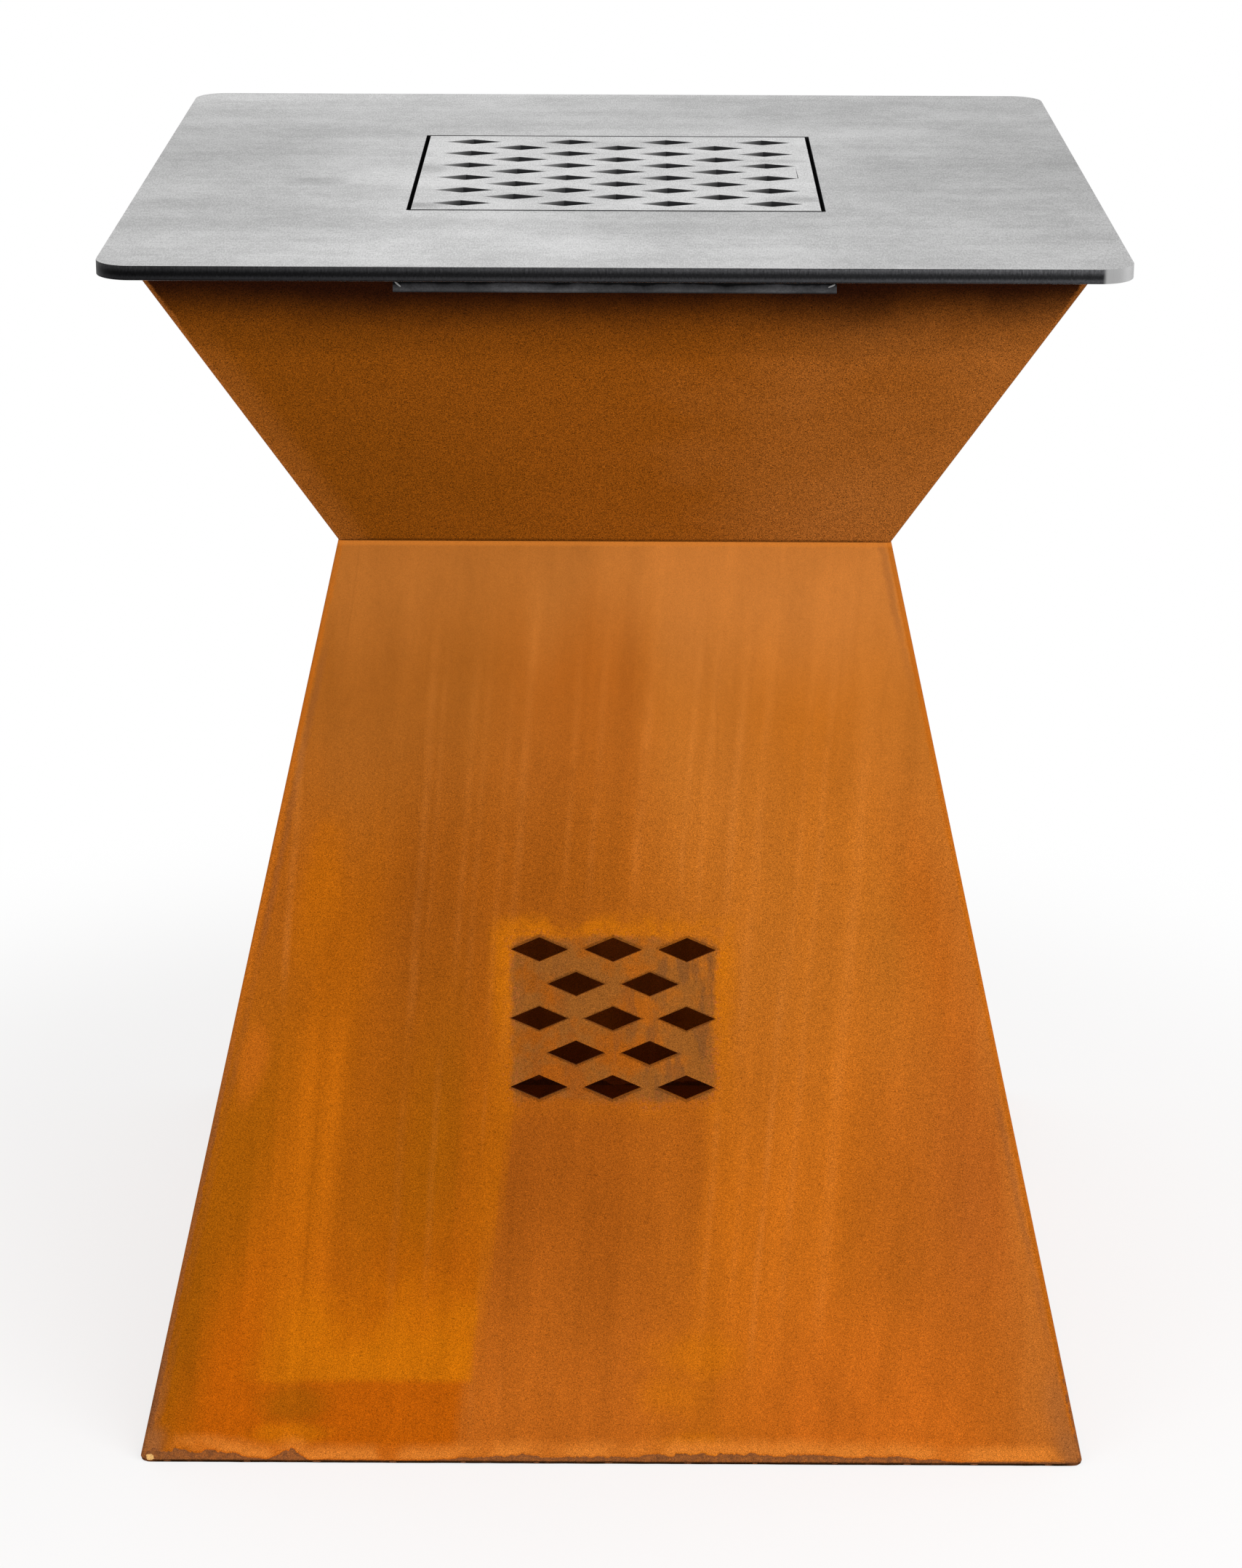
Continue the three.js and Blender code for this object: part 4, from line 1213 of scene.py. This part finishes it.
def mill_scale(name, steel):
    """Dark rolled sheet with mottled scale, lighter towards the front lip's foot by painted shade above it.
    """
    material, sheet, shader = new_material(name)
    place = sheet.place()
    _, y, z = sheet.split(place)
    low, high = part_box("fire_tray_cradle")
    blotches = sheet.ramp(sheet.noise(sheet.scaled(place, (22.0, 22.0, 60.0)), 1.0, 5.0, 0.65), 0.35, 0.7)
    specks = sheet.noise(place, 900.0, 2.0, 0.6)
    drop = sheet.minus(high.z, z)
    fray = sheet.swing(place, 45.0, 4.0, 0.6)
    drop = sheet.nudged(drop, fray, 0.006)
    # Painted shade: darker near the top of the tray, under the plate
    colour = sheet.mix(sheet.ramp(drop, 0.005, 0.0115), steel.tray_dark, steel.tray)
    on_lip = sheet.maths("GREATER_THAN", sheet.size_of(y), -low.y - LIP_REACH)
    # A painted shadow groove on the lips, just under the plate's edge
    painted_groove_shadow = sheet.ramp(drop, 0.0068, 0.0056)
    lip_foot = sheet.ramp(sheet.minus(z, high.z - LIP_HEIGHT), 0.0012, 0.0004)
    colour = shaded(sheet, colour, sheet.product(painted_groove_shadow, on_lip), -0.9)
    colour = shaded(sheet, colour, sheet.product(lip_foot, on_lip), -0.6)
    colour = shaded(sheet, colour, sheet.centred(blotches), 0.5)
    colour = shaded(sheet, colour, sheet.centred(specks), 1.0)
    sheet.put(shader.inputs["Base Color"], colour)
    sheet.put(shader.inputs["Roughness"], sheet.ramp(blotches, 0.0, 1.0, 0.62, 0.45))
    shader.inputs["Metallic"].default_value = 0.9
    relief(sheet, shader, specks, 0.0001, 0.4)
    return material


def zinc_plating(name, tone):
    """Zinc plate that has dulled in patches."""
    material, sheet, shader = new_material(name)
    dull = sheet.noise(sheet.place(), 400.0, 3.0, 0.6)
    shade = sheet.ramp(dull, 0.3, 0.7, 0.75, 1.0)
    colour = sheet.dimmed(tone, shade)
    sheet.put(shader.inputs["Base Color"], colour)
    sheet.put(shader.inputs["Roughness"], sheet.ramp(dull, 0.3, 0.7, 0.5, 0.3))
    shader.inputs["Metallic"].default_value = 1.0
    return material


# ---- Shapes -----------------------------------------------------------------------------------


def smooth_by_angle():
    """A geometry node group that shades smooth, with edges over an angle kept sharp."""
    name = "Smooth by angle"
    if name in bpy.data.node_groups:
        return bpy.data.node_groups[name]
    tree = bpy.data.node_groups.new(name, "GeometryNodeTree")
    tree.interface.new_socket("Geometry", in_out="INPUT", socket_type="NodeSocketGeometry")
    tree.interface.new_socket("Geometry", in_out="OUTPUT", socket_type="NodeSocketGeometry")
    sheet = Sheet(tree)
    entry = sheet.add("NodeGroupInput").outputs["Geometry"]
    angle = sheet.add("GeometryNodeInputMeshEdgeAngle").outputs["Unsigned Angle"]
    sharp = sheet.add("FunctionNodeCompare", {0: angle, 1: math.radians(24)}, operation="GREATER_THAN")
    faces = sheet.add("GeometryNodeSetShadeSmooth", {"Geometry": entry, "Shade Smooth": True}, domain="FACE")
    edges = sheet.add(
        "GeometryNodeSetShadeSmooth",
        {
            "Geometry": faces.outputs[0],
            "Selection": sharp.outputs["Result"],
            "Shade Smooth": False,
        },
        domain="EDGE",
    )
    sheet.add("NodeGroupOutput", {"Geometry": edges.outputs[0]})
    return tree


def soften(piece, width, segments=2):
    """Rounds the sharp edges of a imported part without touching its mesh."""
    weld = piece.modifiers.new("Weld", "WELD")
    weld.merge_threshold = 1e-6
    flats = piece.modifiers.new("Flats", "DECIMATE")
    flats.decimate_type = "DISSOLVE"
    flats.angle_limit = math.radians(0.5)
    edge = piece.modifiers.new("Edges", "BEVEL")
    edge.width = width
    edge.segments = segments
    edge.limit_method = "ANGLE"
    edge.angle_limit = math.radians(30)
    edge.miter_outer = "MITER_ARC"
    edge.use_clamp_overlap = True
    smooth = piece.modifiers.new("Smooth", "NODES")
    smooth.node_group = smooth_by_angle()
    even = piece.modifiers.new("Even faces", "WEIGHTED_NORMAL")
    even.weight = 100
    even.keep_sharp = True


def dress(names, material, width, segments=2):
    for name in names:
        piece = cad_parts[name]
        piece.data.materials.clear()
        piece.data.materials.append(material)
        soften(piece, width, segments)


def nodes_named(*starts):
    return sorted(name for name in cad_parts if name.startswith(starts))


def new_piece(name, mesh, material, body):
    """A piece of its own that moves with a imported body."""
    mesh.materials.append(material)
    piece = bpy.data.objects.new(name, mesh)
    bpy.context.scene.collection.objects.link(piece)
    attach(piece, body)
    return piece


def add_blob(bm, centre, size, rng, turn):
    """One weld blob: a lump with a slightly irregular surface."""
    rough = bmesh.ops.create_icosphere(bm, subdivisions=2, radius=1.0)
    shape = Matrix.Translation(centre) @ turn @ Matrix.Diagonal((*size, 1))
    for vertex in rough["verts"]:
        vertex.co *= rng.uniform(0.9, 1.08)
        vertex.co = shape @ vertex.co


def join_rings(bm, first, second):
    """Faces between two rings of four points."""
    for i in range(4):
        j = (i + 1) % 4
        bm.faces.new((first[i], first[j], second[j], second[i]))


def finish_mesh(bm, name, smooth=True):
    mesh = bpy.data.meshes.new(name)
    bmesh.ops.recalc_face_normals(bm, faces=bm.faces)
    for face in bm.faces:
        face.smooth = smooth
    bm.to_mesh(mesh)
    bm.free()
    return mesh


def base_tacks(parts):
    """Tack welds between the foot of the walls and the base bars, on all four sides."""
    rng = random.Random(21)
    wall_low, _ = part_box("pedestal_front_panel")
    bar_low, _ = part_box("base_bar_front")
    outer, inner = -wall_low.y, -bar_low.y
    deep, tall = 0.0012, wall_low.z * 0.45
    count = 1 + int((2 * inner - 3 * parts.tack_length) / parts.tack_pitch)
    bm = bmesh.new()
    for side in range(4):
        turn = Matrix.Rotation(side * math.pi / 2, 4, "Z")
        for index in range(count):
            along = (index - (count - 1) / 2) * parts.tack_pitch + rng.uniform(-0.004, 0.004)
            centre = turn @ Vector((along, -(outer - deep * 1.15), wall_low.z / 2))
            add_blob(bm, centre, (parts.tack_length * rng.uniform(0.35, 0.65), deep, tall), rng, turn)
    return finish_mesh(bm, "base_tack_welds")


# Radius of the corners at the ground, the height over which they get rounder, and how far that
# sets back the joint beside the corner weld, in metres, as in the solid part
FOOT_CORNER_RADIUS = 0.008
FOOT_CORNER_HEIGHT = 0.005
FOOT_CORNER_SINK = 0.0018
# Two dark strips in the gap under the walls, the upper one and the lip, put there as painted shade
# with scale: half widths of their back and faces, how uneven those faces are, and how far the two
# stay apart, in metres, and the lip's share of the gap
STRIP_BACK = 0.3460
SHADE_STRIP_FACE = 0.3494
SHADE_STRIP_UNEVEN = 0.0002
LIP_FACE = 0.3497
LIP_UNEVEN = 0.0003
STRIP_GAP = 0.00002
LIP_SHARE = 0.2
# Points along one side of a strip, and round one of its corners
STRIP_STEPS = 60
CORNER_STEPS = 6


def rounded_square(half, radius):
    """Points round a square with round corners, each with the way out of the square."""
    straight = half - radius
    centre = Vector((straight, -straight, 0))
    for side in range(4):
        turn = Matrix.Rotation(side * math.pi / 2, 3, "Z")
        for step in range(STRIP_STEPS + 1):
            along = straight * (2 * step / STRIP_STEPS - 1)
            yield turn @ Vector((along, -half, 0)), turn @ Vector((0, -1, 0))
        for step in range(1, CORNER_STEPS):
            angle = math.pi / 2 * (step / CORNER_STEPS - 1)
            out = Vector((math.cos(angle), math.sin(angle), 0))
            yield turn @ (centre + out * radius), turn @ out


def base_strip(name, low, high, outer, jitter):
    """A strip round the foot, under the walls, with a slightly uneven face: dark, as painted shade."""
    rng = random.Random(5)
    bm = bmesh.new()
    rings = []
    for point, out in rounded_square(outer, FOOT_CORNER_RADIUS):
        uneven = rng.uniform(0, jitter)
        section = ((uneven, low), (uneven, high), (outer - STRIP_BACK, high), (outer - STRIP_BACK, low))
        rings.append([bm.verts.new(point - out * inwards + Vector((0, 0, z))) for inwards, z in section])
    for index, ring in enumerate(rings):
        join_rings(bm, ring, rings[(index + 1) % len(rings)])
    return finish_mesh(bm, name, smooth=False)


# Weld beads on the tray's front lip: how far in from its ends, below the tray's top and out of the
# lip's face, their size, all in metres, and how they tilt
BEAD_INSET = 0.0035
BEAD_DROP = 0.0066
BEAD_OUT = 0.0001
BEAD_SIZE = (0.0030, 0.0009, 0.0008)
BEAD_TILTS = (0.7, -0.4)


def lip_tacks():
    """Short weld beads near the ends of the tray's front lip."""
    rng = random.Random(8)
    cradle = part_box("fire_tray_cradle")
    lip_foot = section_box("fire_tray_cradle", cradle[1].z - LIP_HEIGHT)
    bm = bmesh.new()
    for corner, tilt in zip(lip_foot, BEAD_TILTS):
        across = corner.x + math.copysign(BEAD_INSET, -corner.x)
        centre = Vector((across, cradle[0].y - BEAD_OUT, cradle[1].z - BEAD_DROP))
        add_blob(bm, centre, BEAD_SIZE, rng, Matrix.Rotation(tilt, 4, "Y"))
    return finish_mesh(bm, "lip_tack_welds")


# Between these distances from the middle, both across and in depth, scale turns to stain, in metres
CORNER_STAIN = (0.336, 0.344)


def crust_material(name, tones, tone):
    """Scale that gathers in a joint; in its darkest tone also painted shade under the walls."""
    material, sheet, shader = new_material(name)
    place = sheet.place()
    flakes = sheet.ramp(sheet.noise(place, 60.0, 5.0, 0.7), 0.5, 0.7)
    colour = sheet.tinted(tone, tones.stain, flakes, 0.5)
    x, y, _ = sheet.split(place)
    nearer = sheet.maths("MINIMUM", sheet.size_of(x), sheet.size_of(y))
    colour = sheet.mix(sheet.ramp(nearer, *CORNER_STAIN), colour, tones.stain)
    speckled(sheet, shader, colour, place, tones, 2.5)
    return material


# How far the filler reaches into the wall and into the weld, how deep it goes and how far its face
# is set back, in metres
SEAM_INTO_WALL = 0.0005
SEAM_INTO_WELD = 0.0002
SEAM_DEPTH = 0.0010
SEAM_SET_BACK = 0.00004


def corner_seams(kind, taper, rounded):
    """Filler, ground flush, in the joints between the walls and the corner welds."""
    weld = f"{kind}_corner_weld_front_right"
    foot_z, top_z = taper.foot_height, taper.top_height
    bm = bmesh.new()
    sections = []
    for z, outer in ((foot_z, taper.foot_half_width), (top_z, taper.top_half_width)):
        inner = section_box(weld, z)[0].x
        sections.append((z, outer, inner))
    if rounded:
        (_, foot_outer, foot_inner), (_, top_outer, top_inner) = sections
        share = FOOT_CORNER_HEIGHT / (top_z - foot_z)
        outer = foot_outer + share * (top_outer - foot_outer)
        inner = foot_inner + share * (top_inner - foot_inner)
        sections[0] = (foot_z, foot_outer - FOOT_CORNER_SINK, foot_inner)
        sections.insert(1, (foot_z + FOOT_CORNER_HEIGHT, outer, inner))
    for turn_index in range(4):
        turn = Matrix.Rotation(turn_index * math.pi / 2, 3, "Z")
        for mirror in (1, -1):
            rings = []
            for z, outer, inner in sections:
                gap_in, gap_out = inner - SEAM_INTO_WALL, inner + SEAM_INTO_WELD
                back, face = -(outer - SEAM_DEPTH), -(outer - SEAM_SET_BACK)
                corners = [(gap_in, face), (gap_out, face), (gap_out, back), (gap_in, back)]
                rings.append([bm.verts.new(turn @ Vector((x * mirror, y, z))) for x, y in corners])
            for lower, upper in zip(rings, rings[1:]):
                join_rings(bm, lower, upper)
            bm.faces.new(reversed(rings[0]))
            bm.faces.new(rings[-1])
    return finish_mesh(bm, f"{kind}_corner_seams", smooth=False)


# ---- Stage ------------------------------------------------------------------------------------


# Half width of the floor inside the pedestal, in metres
UNDER_PEDESTAL = 0.345


def seen_rays(sheet):
    """1 for what the camera sees, straight, mirrored or through glass."""
    path = sheet.add("ShaderNodeLightPath").outputs
    seen = sheet.maths("MAXIMUM", path["Is Camera Ray"], path["Is Glossy Ray"])
    return sheet.maths("MAXIMUM", seen, path["Is Transmission Ray"])


def floor_material(tone):
    """A pale floor that keeps shadows near the object and turns plain white further out."""
    material, sheet = empty_material("Studio floor")
    matt = sheet.add("ShaderNodeBsdfDiffuse", {"Color": tone})
    white = sheet.add("ShaderNodeEmission", {"Color": (1, 1, 1), "Strength": 1.0})
    x, y, _ = sheet.split(sheet.place())
    distance = sheet.maths("SQRT", sheet.maths("ADD", sheet.product(x, x), sheet.product(y, y)))
    far = sheet.ramp(distance, 0.50, 1.25)
    seen = seen_rays(sheet)
    off_middle = sheet.maths("MAXIMUM", sheet.size_of(x), sheet.size_of(y))
    seen = sheet.product(seen, sheet.maths("GREATER_THAN", off_middle, UNDER_PEDESTAL))
    share = sheet.product(seen, sheet.ramp(far, 0.0, 1.0, 0.72, 1.0))
    mixed = sheet.add("ShaderNodeMixShader", {0: share, 1: matt.outputs[0], 2: white.outputs[0]})
    sheet.add("ShaderNodeOutputMaterial", {"Surface": mixed.outputs[0]})
    return material


def add_floor(studio):
    bpy.ops.mesh.primitive_circle_add(vertices=96, radius=40, fill_type="NGON", location=(0, 0, -0.0002))
    floor = bpy.context.object
    floor.name = "studio_floor"
    floor.data.materials.append(floor_material(studio.floor))


def add_world(strength):
    world = bpy.data.worlds.new("Studio")
    bpy.context.scene.world = world
    world.use_nodes = True
    world.node_tree.nodes.clear()
    sheet = Sheet(world.node_tree)
    seen = seen_rays(sheet)
    power = sheet.blend(seen, strength, 1.0)
    light = sheet.add("ShaderNodeBackground", {"Color": (1, 1, 1), "Strength": power})
    sheet.add("ShaderNodeOutputWorld", {"Surface": light.outputs[0]})


def add_lamp(name, place, target, size, power, mirrored=True):
    lamp = bpy.data.lights.new(name, "AREA")
    lamp.shape = "RECTANGLE"
    lamp.size, lamp.size_y = size
    lamp.energy = power
    holder = bpy.data.objects.new(name, lamp)
    holder.location = place
    holder.rotation_euler = (Vector(target) - Vector(place)).to_track_quat("-Z", "Y").to_euler()
    holder.visible_glossy = mirrored
    bpy.context.scene.collection.objects.link(holder)


def add_glow(name, power):
    """Stands in for the light that finds its way into the pedestal."""
    low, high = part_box("pedestal_front_panel")
    lamp = bpy.data.lights.new(name, "POINT")
    lamp.energy = power
    lamp.shadow_soft_size = 0.05
    holder = bpy.data.objects.new(name, lamp)
    holder.location = (0, 0, (low.z + high.z) / 2)
    bpy.context.scene.collection.objects.link(holder)


def add_camera(studio):
    camera = bpy.data.cameras.new("Studio camera")
    camera.lens = studio.lens
    camera.sensor_width = 36
    holder = bpy.data.objects.new("Studio camera", camera)
    pitch, yaw, roll = studio.camera_turn
    turn = Matrix.Rotation(yaw, 4, "Z") @ Matrix.Rotation(math.pi / 2 - pitch, 4, "X")
    holder.matrix_world = Matrix.Translation(studio.camera_place) @ turn @ Matrix.Rotation(roll, 4, "Z")
    bpy.context.scene.collection.objects.link(holder)
    bpy.context.scene.camera = holder


# ---- Operators --------------------------------------------------------------------------------


class FIREPIT_OT_pedestal(bpy.types.Operator):
    """Gives the pedestal its patina, and fills the joints beside its corner welds"""

    bl_idname = "firepit.pedestal"
    bl_label = "Finish the pedestal"

    def execute(self, context):
        settings = values(context)
        tones, parts = settings.weathering, settings.parts
        taper = taper_of("pedestal_front_panel")
        front = pedestal_wall("Patina, front", taper, tones, front=True)
        plain = pedestal_wall("Patina", taper, tones, front=False)
        dress(["pedestal_front_panel"], front, parts.edge)
        others = [n for n in nodes_named("pedestal_") if n != "pedestal_front_panel"]
        dress(others, plain, parts.edge)
        dress(nodes_named("base_bar_"), crust_material("Base bars", tones, tones.umber), parts.edge)
        seams = corner_seams("pedestal", taper, rounded=True)
        new_piece("pedestal_corner_seams", seams, plain, "pit")
        foot = taper.foot_height
        # Dark strips in the gap under the walls, as painted shade
        crust = crust_material("Crust", tones, tones.crust)
        joint = base_strip("base_shade_strip", foot * LIP_SHARE, foot - STRIP_GAP, SHADE_STRIP_FACE, SHADE_STRIP_UNEVEN)
        new_piece("base_shade_strip", joint, crust, "pit")
        lip = base_strip("base_lip", STRIP_GAP, foot * LIP_SHARE - STRIP_GAP, LIP_FACE, LIP_UNEVEN)
        new_piece("base_lip", lip, crust, "pit")
        tacks = base_tacks(parts)
        bead = crust_material("Tack welds", tones, tones.stain)
        new_piece("base_tack_welds", tacks, bead, "pit")
        return {"FINISHED"}


class FIREPIT_OT_bowl(bpy.types.Operator):
    """Gives the bowl its browner patina, and fills the joints beside its corner welds"""

    bl_idname = "firepit.bowl"
    bl_label = "Finish the bowl"

    def execute(self, context):
        settings = values(context)
        tones, parts = settings.weathering, settings.parts
        taper = taper_of("bowl_front_panel")
        patina = bowl_wall("Bowl patina", taper, tones)
        dress(nodes_named("bowl_"), patina, parts.edge)
        seams = corner_seams("bowl", taper, rounded=False)
        new_piece("bowl_corner_seams", seams, patina, "pit")
        return {"FINISHED"}


class FIREPIT_OT_plate(bpy.types.Operator):
    """Gives the cooking plate and the grate their brushed tops and cut edges"""

    bl_idname = "firepit.plate"
    bl_label = "Finish the plate and grate"

    def execute(self, context):
        settings = values(context)
        steel, parts = settings.steel, settings.parts
        plate = plate_steel("Plate steel", "cooking_plate", steel, steel.top, PLATE_PATCHES)
        grate = plate_steel("Grate steel", "grate_insert", steel, steel.grate, GRATE_PATCHES, holes=True)
        dress(["cooking_plate"], plate, parts.edge)
        dress(["grate_insert"], grate, parts.hole_edge)
        return {"FINISHED"}


class FIREPIT_OT_tray(bpy.types.Operator):
    """Gives the fire tray its mill scale"""

    bl_idname = "firepit.tray"
    bl_label = "Finish the fire tray"

    def execute(self, context):
        settings = values(context)
        scale = mill_scale("Tray steel", settings.steel)
        dress(nodes_named("fire_tray_"), scale, settings.parts.edge)
        bead = zinc_plating("Weld bead", settings.steel.smudge)
        new_piece("lip_tack_welds", lip_tacks(), bead, "fire_tray")
        return {"FINISHED"}


class FIREPIT_OT_fasteners(bpy.types.Operator):
    """Gives the bolts, nuts and washers at the neck their plating"""

    bl_idname = "firepit.fasteners"
    bl_label = "Finish the fasteners"

    def execute(self, context):
        settings = values(context)
        dress(nodes_named("neck_"), zinc_plating("Zinc", settings.steel.zinc), settings.parts.edge / 2)
        return {"FINISHED"}


class FIREPIT_OT_stage(bpy.types.Operator):
    """Sets up the floor, the soft lights, the world and the camera"""

    bl_idname = "firepit.stage"
    bl_label = "Set the stage"

    def execute(self, context):
        studio = values(context).studio
        middle = (0, 0, 0.5)
        add_floor(studio)
        add_world(studio.world)
        add_lamp("Key lamp", (1.5, -1.9, 2.8), middle, (2.2, 2.2), studio.key, mirrored=False)
        add_lamp("Side lamp", (2.6, 0.3, 0.8), middle, (1.2, 1.6), studio.side)
        add_lamp("Fill lamp", (-2.2, -2.8, 1.7), middle, (2.2, 2.2), studio.fill, mirrored=False)
        add_glow("Pedestal glow", studio.glow)
        add_camera(studio)
        context.scene.view_settings.view_transform = "Standard"
        return {"FINISHED"}


class FirePitSettings(bpy.types.PropertyGroup):
    """All that a user may change."""

    weathering: PointerProperty(type=WeatheringSteel)
    steel: PointerProperty(type=PlateSteel)
    parts: PointerProperty(type=SmallParts)
    studio: PointerProperty(type=Studio)


OPERATORS = (
    FIREPIT_OT_pedestal,
    FIREPIT_OT_bowl,
    FIREPIT_OT_plate,
    FIREPIT_OT_tray,
    FIREPIT_OT_fasteners,
    FIREPIT_OT_stage,
)


class FIREPIT_PT_panel(bpy.types.Panel):
    """Lists the settings and the steps"""

    bl_idname = "FIREPIT_PT_panel"
    bl_label = "Fire pit"
    bl_space_type = "VIEW_3D"
    bl_region_type = "UI"
    bl_category = "Fire pit"

    def draw(self, context):
        for operator in OPERATORS:
            self.layout.operator(operator.bl_idname)
        settings = values(context)
        for group in (settings.weathering, settings.steel, settings.parts, settings.studio):
            box = self.layout.box()
            for name in group.__annotations__:
                box.prop(group, name)


CLASSES = (
    WeatheringSteel,
    PlateSteel,
    SmallParts,
    Studio,
    FirePitSettings,
    *OPERATORS,
    FIREPIT_PT_panel,
)


def register():
    for cls in CLASSES:
        bpy.utils.register_class(cls)
    bpy.types.Scene.fire_pit = PointerProperty(type=FirePitSettings)


def unregister():
    del bpy.types.Scene.fire_pit
    for cls in reversed(CLASSES):
        bpy.utils.unregister_class(cls)


def write_sizes():
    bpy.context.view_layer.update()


def main():
    register()
    bpy.ops.firepit.pedestal()
    bpy.ops.firepit.bowl()
    bpy.ops.firepit.plate()
    bpy.ops.firepit.tray()
    bpy.ops.firepit.fasteners()
    bpy.ops.firepit.stage()
    write_sizes()


if __name__ == "__main__":
    main()
